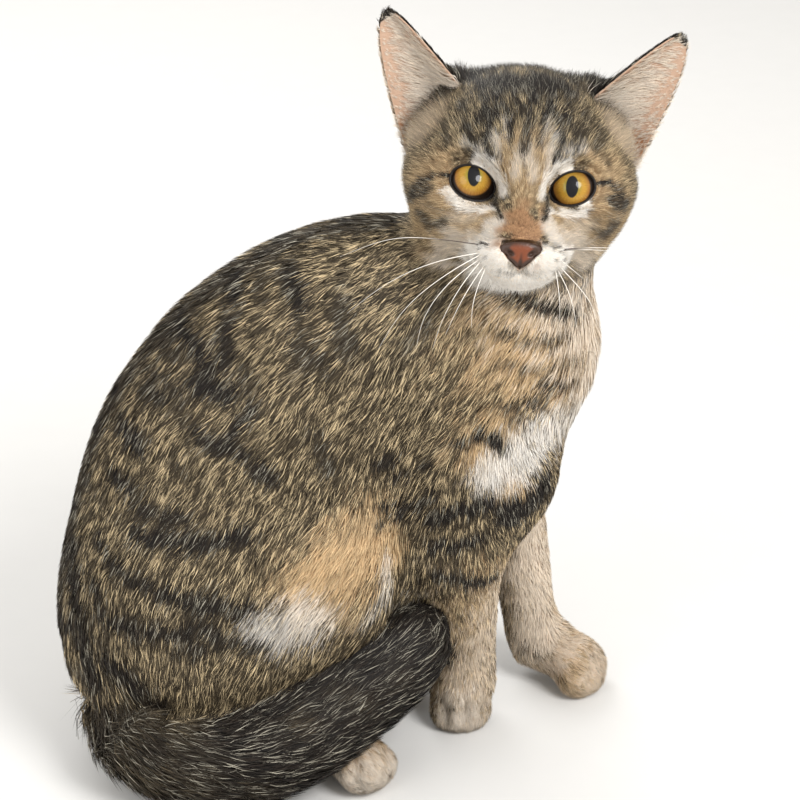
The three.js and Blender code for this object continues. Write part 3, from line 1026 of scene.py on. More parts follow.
@dataclass
class Surface:
    """A mesh as arrays: its corners, their normals, its edges and its triangles."""

    points: Array
    normals: Array
    edges: Array
    triangles: Array
    loops: Array

    @classmethod
    def of(cls, obj: Thing) -> "Surface":
        """Reads an object's mesh.

        Args:
            obj: the object.

        Returns:
            Its surface, with the points in millimetres.
        """
        mesh = obj.data
        mesh.calc_loop_triangles()

        def read(parts: Any, key: str, width: int, kind: type) -> Array:
            """One property of the mesh's corners, edges or triangles, a row for each."""
            found = np.zeros(len(parts) * width, kind)
            parts.foreach_get(key, found)
            return found.reshape(-1, width)

        return cls(
            spots_of(obj),
            read(mesh.vertex_normals, "vector", 3, float),
            read(mesh.edges, "vertices", 2, int),
            read(mesh.loop_triangles, "vertices", 3, int),
            read(mesh.loop_triangles, "loops", 3, int),
        )

    def spread(self, values: Array, passes: int, share: Array | float = 0.5) -> Array:
        """Evens values out between neighbouring corners.

        Args:
            values: one row for each corner.
            passes: how many times.
            share: how far each goes towards its neighbours' mean each time.

        Returns:
            The evened rows.
        """
        count = len(values)
        a, b = self.edges.T
        near = np.maximum(np.bincount(a, minlength=count) + np.bincount(b, minlength=count), 1)
        for _ in range(passes):
            total = np.stack(
                [
                    np.bincount(a, values[b, n], count) + np.bincount(b, values[a, n], count)
                    for n in range(values.shape[1])
                ],
                1,
            )
            values = values + share * (total / near[:, None] - values)
        return values


# ---- The pelt: how the coat lies in each region ----


@dataclass(frozen=True)
class Pelt:
    """The coat of one region, in millimetres and degrees."""

    length: float
    lift: float
    width: float
    density: float
    depth: float

    def row(self) -> tuple[float, ...]:
        """Its numbers in order, as the columns of an array of pelts hold them."""
        return tuple(getattr(self, part.name) for part in fields(self))


LENGTH, LIFT, WIDTH, DENSITY, DEPTH = range(5)


PELTS: dict[str, Pelt] = {
    "head": Pelt(6.0, 20, 0.25, 4.4, 1.3),
    "neck": Pelt(9.5, 20, 0.3, 2.0, 2.5),
    "trunk": Pelt(9.5, 20, 0.3, 1.5, 2.3),
    "hindleg": Pelt(9.5, 20, 0.3, 1.5, 2.3),
    "foreleg": Pelt(7.0, 24, 0.27, 2.0, 1.6),
    "paw_front": Pelt(4.0, 26, 0.22, 4.4, 0.8),
    "paw_hind": Pelt(4.2, 26, 0.22, 4.2, 0.9),
    "tail": Pelt(17.0, 31, 0.34, 1.9, 4.0),
    "ear": Pelt(3.2, 16, 0.22, 4.0, 0.0),
    "lining": Pelt(7.0, 16, 0.15, 2.0, 0.0),
}

# Where the coat is longer or stands up more: a place, its reach, and factors of length and lift.
TUFTED: tuple[tuple[float, ...], ...] = (
    (-40, -56, 74, 16, 1.35, 1.35),
    (-18, -50, 84, 13, 1.3, 1.4),
    (-60, -55, 62, 14, 1.25, 1.2),
    (-112, -25, 35, 30, 1.45, 1.2),
    (-60, -8, 186, 45, 1.15, 1.25),
    (64, -8, 160, 26, 1.15, 1.15),
)

# Where the head is fuller or slighter than its solids: a place, its reach and the push there.
SWELLS: tuple[tuple[Triple, float, Triple], ...] = (
    ((-31, 21, 33), 13, (0, 1.5, 4.0)),
    ((-31, -21, 33), 13, (0, -1.5, 4.0)),
    ((-33, 29, 34), 13, (0, 2.5, 7.0)),
    ((-33, -29, 34), 13, (0, -2.5, 7.0)),
    ((-8, 30, -26), 20, (0, -7.0, 2.0)),
    ((-8, -30, -24), 16, (0, 1.6, 0.5)),
    ((-20, 36, 4), 13, (0, 1.8, 0)),
    ((-20, -36, 6), 13, (0, -1.5, 0)),
)

# Between the toes: a line down each crease, in the frame that mirrors at y = 0.
CREASES: tuple[tuple[Triple, ...], ...] = (
    ((13.5, -19, 15), (13.0, -24.5, 8), (13.2, -25.5, 2)),
    ((20.5, -20, 16), (20.3, -26.5, 9), (20.0, -28, 2)),
    ((27.0, -19, 14), (27.0, -25, 8), (26.5, -26, 2)),
    ((72.0, -4, 17), (73.9, -8.7, 13.5), (71.3, -11.9, 8), (70.5, -13, 2)),
    ((75.0, -4, 16), (78.5, -7, 9), (78.0, -8, 2)),
    ((77.0, 0, 14), (80.5, -1.5, 8), (80.5, -2, 2)),
    ((-27.5, -51, 20), (-25.6, -54.7, 16.3), (-25.9, -58.7, 11), (-24.7, -59.6, 2)),
    ((-14.5, -49, 16), (-12.5, -54, 9), (-12.5, -55.5, 2)),
    ((8, 6, 13), (12.5, 6, 5)),
    ((8, 14, 13), (12.5, 14, 5)),
)

TAIL_ROUTE: tuple[tuple[float, float, float, float], ...] = (
    (-92, 10, 22, 17),
    (-103, -13, 18, 17.5),
    (-96, -38, 17.5, 18),
    (-77, -50, 17.5, 18),
    (-57, -51, 21, 18),
    (-41, -48, 29, 18),
    (-26, -42, 37, 17.5),
    (-12, -37, 43, 16.5),
    (-3, -34, 49, 14.5),
    (3, -33, 54, 11),
    (6, -32, 58, 3),
)

# Combing strokes on the right side, mirrored to the left: a place, and the way the hair lies.
COMBING: tuple[tuple[float, ...], ...] = (
    (-1, -8, 200, -0.86, -0.45, -0.25),
    (-26, -13, 196, -0.92, -0.13, -0.36),
    (-52, -12, 185, -0.8, -0.16, -0.58),
    (-78, -11, 167, -0.61, -0.27, -0.74),
    (-97, -11, 144, -0.44, -0.19, -0.88),
    (-108, -14, 119, -0.29, -0.04, -0.96),
    (-117, -15, 89, -0.16, -0.21, -0.96),
    (-119, -23, 57, 0.1, -0.26, -0.96),
    (-5, -28, 182, -0.81, -0.38, -0.44),
    (-39, -30, 175, -0.74, -0.13, -0.66),
    (-67, -31, 155, -0.66, -0.03, -0.75),
    (-88, -30, 130, -0.49, 0.06, -0.87),
    (-103, -30, 100, -0.34, -0.09, -0.94),
    (-109, -36, 71, 0.0, -0.14, -0.99),
    (-111, -32, 40, 0.28, -0.39, -0.88),
    (-7, -39, 150, -0.64, -0.17, -0.75),
    (-28, -41, 146, -0.68, -0.11, -0.73),
    (-52, -42, 133, -0.61, -0.03, -0.79),
    (-73, -43, 112, -0.56, -0.2, -0.8),
    (-91, -45, 91, -0.32, -0.07, -0.95),
    (-89, -49, 66, -0.04, 0.08, -1.0),
    (-13, -40, 116, 0.25, 0.08, -0.96),
    (-25, -43, 123, -0.51, -0.17, -0.85),
    (-22, -48, 104, -0.58, -0.51, -0.63),
    (-34, -56, 88, -0.63, -0.05, -0.77),
    (-45, -56, 77, -0.57, 0.14, -0.81),
    (-61, -53, 85, -0.58, -0.08, -0.81),
    (-72, -53, 66, -0.39, 0.13, -0.91),
    (8, -33, 172, -0.56, -0.33, -0.76),
    (11, -37, 150, -0.6, -0.08, -0.79),
    (11, -38, 131, -0.81, 0.1, -0.58),
    (-7, -37, 110, -0.77, -0.47, -0.44),
    (41, -32, 177, -0.54, -0.18, -0.82),
    (60, -23, 163, -0.23, -0.3, -0.92),
    (36, -35, 148, -0.66, -0.23, -0.71),
    (51, -30, 144, -0.65, -0.46, -0.61),
    (24, -41, 125, -0.26, -0.12, -0.96),
    (27, -32, 181, -0.73, -0.09, -0.68),
    (7, -38, 117, -0.67, 0.22, -0.7),
    (35, -39, 131, -0.46, -0.27, -0.85),
    (70, 0, 150, -0.1, 0, -1),
    (72, 0, 172, 0.1, 0, -1),
    (64, 0, 110, -0.3, 0, -1),
    (10, 0, 58, -0.9, 0, -0.3),
)

# The way the hair lies on each limb, from its upper end to its lower.
LIMBS: dict[str, tuple[Triple, Triple]] = {
    "foreleg_right": ((20, -26, 100), (22, -11, 24)),
    "foreleg_left": ((38, 24, 110), (54, 14, 20)),
    "paw_front_right": ((22, -8, 20), (20, -16, 8)),
    "paw_front_left": ((56, 12, 18), (70, 1, 9)),
    "paw_hind_right": ((-50, -8, 20), (-22, -48, 10)),
    "paw_hind_left": ((-50, 20, 20), (2, 10, 10)),
}


def family(node: str) -> str:
    """The pelt that a node of the frame has."""
    return next(name for name in PELTS if node.startswith(name))


@dataclass(frozen=True)
class Almond:
    """The opening between the lids, as a distance outside its edge, in the head's l and u."""

    outer: float = 6.9
    inner: float = 7.3
    top: float = 5.4
    bottom: float = 5.1
    tilt: float = 0.17
    outer_bend: float = 2.1
    inner_bend: float = 1.9

    def outside(self, out: Array, up: Array) -> Array:
        """How far places are outside the lids' edge.

        Args:
            out: how far each is from the eye's middle, away from the nose.
            up: how far above it.

        Returns:
            The distances, less than 0 inside the opening.
        """
        side = np.where(out > 0, self.outer, self.inner)
        bend = np.where(out > 0, self.outer_bend, self.inner_bend)
        high = up - self.tilt * np.clip(out, -self.inner, self.outer)
        tall = np.where(high > 0, self.top, self.bottom)
        reach = (np.abs(out / side) ** bend + np.abs(high / tall) ** bend) ** (1 / bend)
        return (reach - 1) * np.hypot(out, high) / np.maximum(reach, 1e-6)


ALMOND = Almond()


def past_lids(spots: Array, side: int) -> tuple[Array, Array, Array]:
    """Where places are round one eye.

    Args:
        spots: places in the head's frame.
        side: -1 for the right eye, 1 for the left one.

    Returns:
        How far each is outside the opening as seen from the front, its distance from the
        middle of the opening as seen from there, and its offset from the ball's middle.
    """
    off = spots - eye_middle(side)
    outside = ALMOND.outside(side * off[:, 1], off[:, 2])
    return outside, np.hypot(off[:, 1], off[:, 2]), off


def lids_gap(spots: Array) -> Array:
    """How far places of the head's front are outside the nearer eye's opening.

    Args:
        spots: places in the head's frame.

    Returns:
        The distances, or FAR away from the eyes and behind them.
    """
    gap = np.full(len(spots), FAR)
    for side in (-1, 1):
        outside, wide, off = past_lids(spots, side)
        gap = np.where((off[:, 0] > -5) & (wide < 24), np.minimum(gap, outside), gap)
    return gap


NOSE_MIDDLE = -0.8  # where the face's middle line is, along l
MOUTH: tuple[tuple[float, float], ...] = (
    (0, -26.5),
    (0, -29.2),
    (3.5, -30.6),
    (8, -29.8),
    (12, -26.5),
)


def mouth_gap(spots: Array) -> Array:
    """How far places of the muzzle are from the line of the lips.

    Args:
        spots: places in the head's frame.

    Returns:
        The distances, or FAR behind the muzzle.
    """
    flat = np.stack([np.abs(spots[:, 1] - NOSE_MIDDLE), spots[:, 2]], 1)
    gap, _ = to_line(flat, MOUTH)
    return np.where(spots[:, 0] > 2, gap, FAR)


def nose_share(spots: Array) -> Array:
    """How much places of the head belong to the nose's leather.

    Args:
        spots: places in the head's frame.

    Returns:
        One share for each, from 0 to 1.
    """
    drop = (-19.0 - spots[:, 2]) / 8.4
    half = np.interp(drop, (-0.1, 0.0, 0.3, 0.7, 1.0, 1.1), (3.0, 6.2, 6.8, 4.0, 1.2, 0.2))
    inside = 1 - ramp(np.abs(spots[:, 1] - NOSE_MIDDLE) - half, -0.6, 0.3)
    return inside * ramp(drop, -0.08, 0.02) * ramp(drop, 1.1, 1.0) * (spots[:, 0] > 8)


# ---- Ears ----


@dataclass
class Ear:
    """One cupped ear, a thin closed shell in the head's frame, with l measured outwards."""

    side: int
    root: Triple
    tip: Triple
    outer_half: float = 15.0
    inner_half: float = 14.0
    cup: float = 10.5
    wall: float = 1.5
    rows: int = 34
    ring: int = 44
    across: Array = field(default_factory=lambda: unit(np.array([-0.3, 0.81, -0.5])))
    front: Array = field(default_factory=lambda: unit(np.array([0.93, 0.25, -0.23])))

    def half(self, left: Array, s: Array) -> Array:
        """Half the ear's width where this share of it is above, on the side that s is on."""
        outer, inner = self.outer_half * left**0.45 + 0.6, self.inner_half * left**0.75 + 0.6
        return np.where(s > 0, outer, inner)

    def spot(self, left: Array, s: Array, off: Array) -> Array:
        """Points of the ear.

        Args:
            left: the share of the ear above each, from 0 at its tip to 1 at its root.
            s: from -1 at its inner edge to 1 at its outer one.
            off: how far out of its open face.

        Returns:
            The points, in the head's frame.
        """
        left = np.asarray(left, float)
        middle = np.array(self.tip) + left[..., None] * (np.array(self.root) - np.array(self.tip))
        half = self.half(left, s)
        depth = self.cup * left**0.8 + 0.3
        ridge = 0.5 * np.exp(-(((s - 0.35) / 0.12) ** 2)) * left
        lean = unit(np.stack([-2 * depth * s, half], -1))
        x = s * half + lean[..., 0] * off
        y = -depth * (1 - s * s) + ridge + lean[..., 1] * off
        point = middle + x[..., None] * self.across + y[..., None] * self.front
        point[..., 1] *= self.side
        return point

    def shell(self) -> Thing:
        """The ear as a closed mesh: a grid wrapped round its section, from root to tip.

        Returns:
            The ear, whose first row reaches down into the head.
        """
        ear, row, step = grid(self.ring, self.rows)
        turn = 2 * math.pi * step / self.ring
        left = (1 - row / self.rows * 0.995) ** 1.7
        back = np.sin(turn)
        thick = (0.35 + 0.65 * np.abs(back) ** 0.5) * self.wall * (0.55 + 0.45 * left)
        off = np.where(back > 0, -thick, 0.0)
        place(ear, HEAD.out(self.spot(left + 0.12 * (row == 0), np.cos(turn), off)))
        close(ear, 0.00002)
        return ear

    def share(self, spots: Array) -> tuple[Array, Array, Array]:
        """Where places of the head are on this ear.

        Args:
            spots: places in the head's frame.

        Returns:
            The share of the ear above each, its place across, and how far it is from the ear.
        """
        folded = spots.copy()
        folded[:, 1] *= self.side
        axis = np.array(self.root) - np.array(self.tip)
        basis = np.stack([axis, self.across, self.front], 1)
        solved = np.linalg.solve(basis, (folded - np.array(self.tip)).T).T
        left = np.clip(solved[:, 0], 0, 1)
        s = np.clip(solved[:, 1] / self.half(left, solved[:, 1]), -1, 1)
        gap = far(spots - self.spot(left, s, -0.5 * self.wall))
        return solved[:, 0], s, gap


EARS = (Ear(-1, (-27, 23.5, 15), (-20, 47, 57.5)), Ear(1, (-27, 25.5, 15), (-20, 52, 54.5)))


# ---- The skin ----


@dataclass
class Skin:
    """One skin over the whole kitten but its eyes, inside the solids by the coat's depth."""

    voxel: float = 1.78
    overlap: float = 0.4
    lid: float = 0.9
    socket: float = 1.7
    nose_bed: float = 2.4
    nodes: tuple[str, ...] = field(init=False)
    labels: list[str] = field(init=False)
    nearest: BVHTree = field(init=False)
    obj: Thing = field(init=False)
    surface: Surface = field(init=False)
    near: Array = field(init=False)
    flow: Array = field(init=False)
    pelt: Array = field(init=False)
    tail_share: Array = field(init=False)
    head_share: Array = field(init=False)
    inside: Array = field(init=False)
    marks: Array = field(init=False)

    def build(self) -> "Skin":
        """Makes the mesh, shapes the face, adds ears and tail, and reads its fields.

        Returns:
            The skin itself.
        """
        flesh = [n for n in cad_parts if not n.startswith(("eye", "ear", "tail"))]
        self.nodes = tuple(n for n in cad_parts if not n.startswith("eye"))
        self.labels, self.nearest = self.map_of(flesh)
        self.obj = self.merged(flesh)
        self.obj.name = "skin"
        self.settle()
        self.swell()
        self.refine()
        self.shape_face()
        self.press_toes()
        self.join_ears()
        self.unwrap()
        self.surface = Surface.of(self.obj)
        self.read_fields()
        return self

    def map_of(self, nodes: list[str]) -> tuple[list[str], BVHTree]:
        """A search tree over nodes of the frame.

        Args:
            nodes: their names.

        Returns:
            The node of each of the tree's faces, and the tree.
        """
        corners, faces, labels = [], [], []
        for name in nodes:
            start = len(corners)
            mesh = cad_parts[name].data
            corners += [v.co.copy() for v in mesh.vertices]
            faces += [[start + i for i in p.vertices] for p in mesh.polygons]
            labels += [name] * len(mesh.polygons)
        return labels, BVHTree.FromPolygons(corners, faces)

    def merged(self, nodes: list[str]) -> Thing:
        """One mesh of even squares over the flesh, the eyes' sockets and the tail.

        Args:
            nodes: the nodes of flesh, which are copied and grown until they overlap.

        Returns:
            The mesh.
        """
        copies = []
        for name in nodes:
            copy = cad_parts[name].copy()
            copy.data = copy.data.copy()
            copy.parent = None
            bpy.context.collection.objects.link(copy)
            for key in list(copy.keys()):
                del copy[key]
            choose(copy)
            bpy.ops.object.mode_set(mode="EDIT")
            bpy.ops.mesh.select_all(action="SELECT")
            bpy.ops.mesh.remove_doubles(threshold=0.00001)
            bpy.ops.object.mode_set(mode="OBJECT")
            shape = Surface.of(copy)
            place(copy, shape.points + self.overlap * shape.normals)
            copies.append(copy)
        rump = np.array([(-97, -16, 62), (-101, -20, 48), (-101, -22, 34), (-99, -22, 22)])
        rump = swept(rounded(rump + BODY_ORIGIN, 12), np.linspace(16, 17.5, 12), 24)
        for side in (-1, 1):
            bpy.ops.mesh.primitive_uv_sphere_add(segments=32, ring_count=16, radius=1)
            ball = bpy.context.object
            middle = HEAD.out(eye_middle(side))
            place(ball, middle + (EYE_RADIUS + self.socket) * spots_of(ball) * MM)
            copies.append(ball)
        choose(*copies, self.tail(), rump)
        bpy.ops.object.join()
        whole = bpy.context.object
        whole.data.materials.clear()
        apply(whole, "REMESH", mode="VOXEL", voxel_size=self.voxel * MM)
        return whole

    def regions(self, points: Array) -> list[str]:
        """The node that each point is nearest to."""
        return [self.labels[self.nearest.find_nearest(Vector(p))[2]] for p in points * MM]

    def families(self, points: Array) -> Array:
        """The pelt's region at each point, the tail's by its route.

        Args:
            points: places on the skin.

        Returns:
            The regions' names.
        """
        near = np.array([family(n) for n in self.regions(points)])
        gap, where = to_line(in_body(points), [stop[:3] for stop in TAIL_ROUTE])
        core = np.interp(where, np.linspace(0, 1, len(TAIL_ROUTE)), [s[3] for s in TAIL_ROUTE])
        near[(gap < core - PELTS["tail"].depth + 0.8) & (where > 0.08)] = "tail"
        return near

    def settle(self) -> None:
        """Evens out the facets and draws the surface in by the coat's depth."""
        shape = Surface.of(self.obj)
        near = self.families(shape.points)
        depth = np.array([0.0 if n == "tail" else PELTS[n].depth for n in near])[:, None]
        firm = {"head": 0.35, "paw_front": 0.2, "paw_hind": 0.2}
        share = shape.spread(np.array([firm.get(n, 0.5) for n in near])[:, None], 6)
        points = shape.spread(shape.points, 14, share)
        place(self.obj, points)
        shape = Surface.of(self.obj)
        depth = shape.spread(depth + self.overlap, 8)
        depth[:, 0] -= 0.9 * ramp(HEAD.into(points)[:, 0], -6, 4) * (near == "head")
        place(self.obj, shape.points - depth * shape.normals)
        shape = Surface.of(self.obj)
        place(self.obj, shape.spread(shape.points, 3, 0.4))

    def ring_height(self, turn: Array, high: Array, on_ring: Array) -> Array:
        """The face's own height round an eye.

        Args:
            turn: the angle of each place round the eye.
            high: how far forward each is.
            on_ring: which of them are on the ring that is measured.

        Returns:
            The ring's height in each place's direction.
        """
        angles = np.linspace(-math.pi, math.pi, 37)
        off = turn[on_ring][None] - angles[:, None]
        off = np.abs((off + math.pi) % (2 * math.pi) - math.pi)
        weight = np.exp(-((off / 0.3) ** 2)) + 1e-9
        mean = (weight * high[on_ring][None]).sum(1) / weight.sum(1)
        return np.interp(turn, angles, mean)

    def press_toes(self) -> None:
        """Presses the creases between the toes into the paws, and rounds the toes beside them."""
        shape = Surface.of(self.obj)
        spots = in_body(shape.points)
        push = np.zeros(len(spots))
        for crease in CREASES:
            gap, _ = to_line(spots, crease)
            push = np.minimum(push, -3.0 * np.exp(-((gap / 1.8) ** 2)))
            push += 0.35 * np.exp(-(((gap - 4.4) / 1.6) ** 2)) * (spots[:, 2] < 18)
        place(self.obj, shape.points + push[:, None] * shape.normals)

    def swell(self) -> None:
        """Fills out or draws in parts of the head that the solids hold plainer."""
        shape = Surface.of(self.obj)
        points = shape.points
        for middle, reach, push in SWELLS:
            gap = far(HEAD.into(points) - np.array(middle))
            points = points + ramp(gap, reach, 0.1 * reach)[:, None] * (np.array(push) @ HEAD.axes)
        place(self.obj, points)

    def refine(self) -> None:
        """Splits the mesh's faces on the face, by the eyes and muzzle, and at the lids' edges."""
        for near in (self.on_face, self.by_features, self.by_lids):
            work = bmesh.new()
            work.from_mesh(self.obj.data)
            work.verts.ensure_lookup_table()
            wanted = near(HEAD.into(np.array([v.co for v in work.verts]) / MM))
            edges = [e for e in work.edges if wanted[e.verts[0].index] and wanted[e.verts[1].index]]
            bmesh.ops.subdivide_edges(work, edges=edges, cuts=1, use_grid_fill=True, smooth=0.4)
            work.to_mesh(self.obj.data)
            work.free()

    def on_face(self, spots: Array) -> Array:
        """Which places of the head are on its face."""
        return (spots[:, 0] > -22) & (far(spots) < 50)

    def by_features(self, spots: Array) -> Array:
        """Which places of the head are by the eyes or on the muzzle.

        Args:
            spots: places in the head's frame.

        Returns:
            True or False for each.
        """
        eye = np.hypot(np.abs(spots[:, 1]) - EYE_APART / 2, spots[:, 2]) < 11
        muzzle = (np.abs(spots[:, 1]) < 15) & (spots[:, 2] < -8) & (spots[:, 2] > -37)
        return (eye & (spots[:, 0] > -12)) | (muzzle & (spots[:, 0] > 0))

    def by_lids(self, spots: Array) -> Array:
        """Which places of the head are at the edges of the lids."""
        gaps = [past_lids(spots, side)[0] for side in (-1, 1)]
        return (np.abs(np.minimum(*gaps)) < 1.7) & (spots[:, 0] > -16)

    def shape_face(self) -> None:
        """Wraps the lids round the eyes, and presses in the lips and the nose's bed."""
        points = spots_of(self.obj)
        spots = HEAD.into(points)
        near = (spots[:, 0] > -26) & (far(spots) < 48)
        face = spots[near]
        for side in (-1, 1):
            outside, wide, off = past_lids(face, side)
            close = (off[:, 0] > -8) & (outside < 7)
            turn = np.arctan2(off[:, 2], off[:, 1])
            brow = self.ring_height(turn, face[:, 0], (outside > 5) & (outside < 7) & close)
            radius = EYE_RADIUS - 1.2 + (1.2 + self.lid) * ramp(outside, -0.9, 0.5)
            steep = np.minimum(wide, np.minimum(8.7, radius - 0.4))
            lid = np.sqrt(radius**2 - steep**2) - EYE_SINK
            lid += (brow - lid) * ramp(outside, 0.4, 5.2)
            lid -= 0.6 * np.exp(-(((outside - 2.4) / 0.7) ** 2)) * ramp(off[:, 2], 0, 2)
            lid += (face[:, 0] - lid) * ramp(outside, 5, 7)
            face[:, 0] = np.where(close, lid, face[:, 0])
        face[:, 0] -= 0.5 * ramp(mouth_gap(face), 1.8, 0.0)
        face[:, 0] -= self.nose_bed * nose_share(face)
        spots[near] = face
        place(self.obj, HEAD.out(spots))
        shape = Surface.of(self.obj)
        gap = lids_gap(spots)
        even = ramp(gap, 0.9, 1.8) * ramp(gap, 8.0, 6.0)
        place(self.obj, shape.spread(shape.points, 8, 0.5 * even[:, None]))

    def tail(self) -> Thing:
        """The tail's core, a tube along its route.

        Returns:
            The tube, thinner than the tail by the coat's depth.
        """
        line = rounded(np.array(TAIL_ROUTE), 91)
        t = np.linspace(0, 1, len(line))
        radii = np.maximum(line[:, 3] - PELTS["tail"].depth, 1.6) * ramp(t, 1.02, 0.93) ** 0.5
        radii[-1] = 0.15
        return swept(line[:, :3] + BODY_ORIGIN, radii, 28)

    def join_ears(self) -> None:
        """Makes the ears one with the skin."""
        for piece in [ear.shell() for ear in EARS]:
            apply(self.obj, "BOOLEAN", operation="UNION", solver="MANIFOLD", object=piece)
            bpy.data.objects.remove(piece)
            LOG.info("skin after a join: %d faces", len(self.obj.data.polygons))

    def unwrap(self) -> None:
        """Unwraps the skin's own shape."""
        choose(self.obj)
        self.obj.data.uv_layers.new(name="OFBake")
        bpy.ops.object.mode_set(mode="EDIT")
        bpy.ops.mesh.select_all(action="SELECT")
        bpy.ops.uv.smart_project(angle_limit=math.radians(60), island_margin=0.003)
        bpy.ops.object.mode_set(mode="OBJECT")
        bpy.ops.object.shade_smooth()

    def read_fields(self) -> None:
        """Reads, for each corner, its region, how its hair lies, and its pattern with the painted
        shade in the toes' creases.
        """
        shape = self.surface
        body = in_body(shape.points)
        spots = HEAD.into(shape.points)
        names = self.regions(shape.points)
        near = self.families(shape.points)
        _, tail_place = to_line(body, [stop[:3] for stop in TAIL_ROUTE])
        ears = [ear.share(spots) for ear in EARS]
        on_ear = np.zeros(len(near), bool)
        for left, _, gap in ears:
            on_ear |= (gap < 2.2) & (left < 0.97) & (left > -0.1)
        near[on_ear] = "ear"
        flow = self.combed(body, spots, names, near, tail_place)
        flow = shape.spread(unit(flow), 10)
        flow -= (flow * shape.normals).sum(1)[:, None] * shape.normals
        pelt = np.array([PELTS[n].row() for n in near])
        pelt = self.face_pelt(shape.spread(pelt, 8), spots, near)
        for *middle, reach, longer, higher in TUFTED:
            share = ramp(far(body - np.array(middle)), reach, 0.4 * reach)
            pelt[:, LENGTH] *= 1 + (longer - 1) * share
            pelt[:, LIFT] *= 1 + (higher - 1) * share
        tail = shape.spread((near == "tail").astype(float)[:, None], 4)[:, 0]
        head = shape.spread(np.isin(near, ("head", "ear")).astype(float)[:, None], 4)[:, 0]
        self.flow, self.pelt, self.near = unit(flow), pelt, near
        self.tail_share, self.head_share = tail, head
        outer = shape.points + pelt[:, [DEPTH]] * shape.normals
        marks = MarkingsAndCreaseShade(HEAD).read(outer, tail, head)
        bare, rust, self.marks = self.ear_marks(marks, spots, ears, near)
        self.line_ears(spots, ears, near)
        rim = np.where(head > 0.5, ramp(lids_gap(spots), 1.0, 0.75), 0)
        lips = 0.45 * ramp(mouth_gap(spots), 0.9, 0.3) * (head > 0.5)
        paint(self.obj, "marks", self.marks)
        paint(self.obj, "parts", np.stack([np.maximum(rim, lips), bare, rust], 1))

    def combed(
        self, body: Array, spots: Array, names: list[str], near: Array, tail_place: Array
    ) -> Array:
        """The way the hair lies at each corner, before it is evened out.

        Args:
            body: the corners in the frame that mirrors at y = 0.
            spots: the corners in the head's frame.
            names: the node nearest to each.
            near: the region of each.
            tail_place: where along the tail each is.

        Returns:
            One direction for each corner.
        """
        guides = np.array(COMBING)
        both = np.concatenate([guides, guides * np.array([1, -1, 1, 1, -1, 1])])
        flow = np.zeros_like(body)
        weight = np.zeros(len(body))
        for guide in both:
            gap = far(body - guide[:3])
            pull = 1 / (gap**2 + 36) ** 1.5
            flow += pull[:, None] * guide[3:]
            weight += pull
        flow /= weight[:, None]
        named = np.array(names)
        for name, (start, end) in LIMBS.items():
            flow[named == name] = np.array(end) - np.array(start)
        from_nose = spots - np.array([24, NOSE_MIDDLE, -20])
        from_nose[:, 2] -= 9 * ramp(np.abs(spots[:, 1]), 14, 30) * ramp(spots[:, 2], 8, -6)
        from_nose[:, 1] += 6 * np.sign(spots[:, 1]) * ramp(np.abs(spots[:, 1]), 4, 14)
        below = ramp(spots[:, 2], -27, -33) * ramp(spots[:, 0], 14, 4)
        from_nose[:, 2] -= 20 * below
        for side in (-1, 1):
            from_eye = spots - eye_middle(side)
            from_eye[:, 0] = 0
            close = ramp(far(from_eye), 15, 7) * (spots[:, 0] > -16)
            from_nose = unit(from_nose) + 2.2 * close[:, None] * unit(from_eye)
        on_head = near == "head"
        flow[on_head] = (unit(from_nose) @ HEAD.axes)[on_head]
        stops = np.array(TAIL_ROUTE)[:, :3]
        ways = unit(np.gradient(stops, axis=0))
        along = np.stack(
            [np.interp(tail_place, np.linspace(0, 1, len(stops)), ways[:, n]) for n in range(3)], 1
        )
        flow[near == "tail"] = along[near == "tail"]
        for ear in EARS:
            rise = np.array(ear.tip) - np.array(ear.root)
            rise[1] *= ear.side
            mine = (near == "ear") & (spots[:, 1] * ear.side > 0)
            flow[mine] = unit(rise) @ HEAD.axes
        return flow

    def face_pelt(self, pelt: Array, spots: Array, near: Array) -> Array:
        """Makes the hair shorter, finer and closer towards the nose and round the eyes.

        Args:
            pelt: the pelt's numbers at each corner.
            spots: the corners in the head's frame.
            near: the region of each corner.

        Returns:
            The same pelt, changed on the head.
        """
        head = near == "head"
        from_nose = far(spots - np.array([17, NOSE_MIDDLE, -20]))
        by_eye = lids_gap(spots)
        short = np.interp(from_nose, (4, 9, 16, 30, 55), (0.25, 0.36, 0.55, 0.85, 1.3))
        short = np.minimum(short, np.interp(by_eye, (0, 2, 8), (0.3, 0.45, 1.2)))
        fine = np.interp(short, (0.25, 1.3), (0.62, 1.15))
        folded = mirrored(spots)
        by_ear = ramp(far(folded - np.array([-18, 33, 21])), 15, 6)
        crown = ramp(far(folded - np.array([-32, 8, 36])), 20, 8)
        pelt[head, LENGTH] *= 1 + (0.8 * by_ear + 0.5 * crown)[head]
        pelt[head, LIFT] *= 1 + (1.3 * by_ear + 0.5 * crown)[head]
        pelt[head, LENGTH] *= short[head]
        pelt[head, WIDTH] *= fine[head]
        pelt[head, DENSITY] /= fine[head] ** 1.6
        return pelt

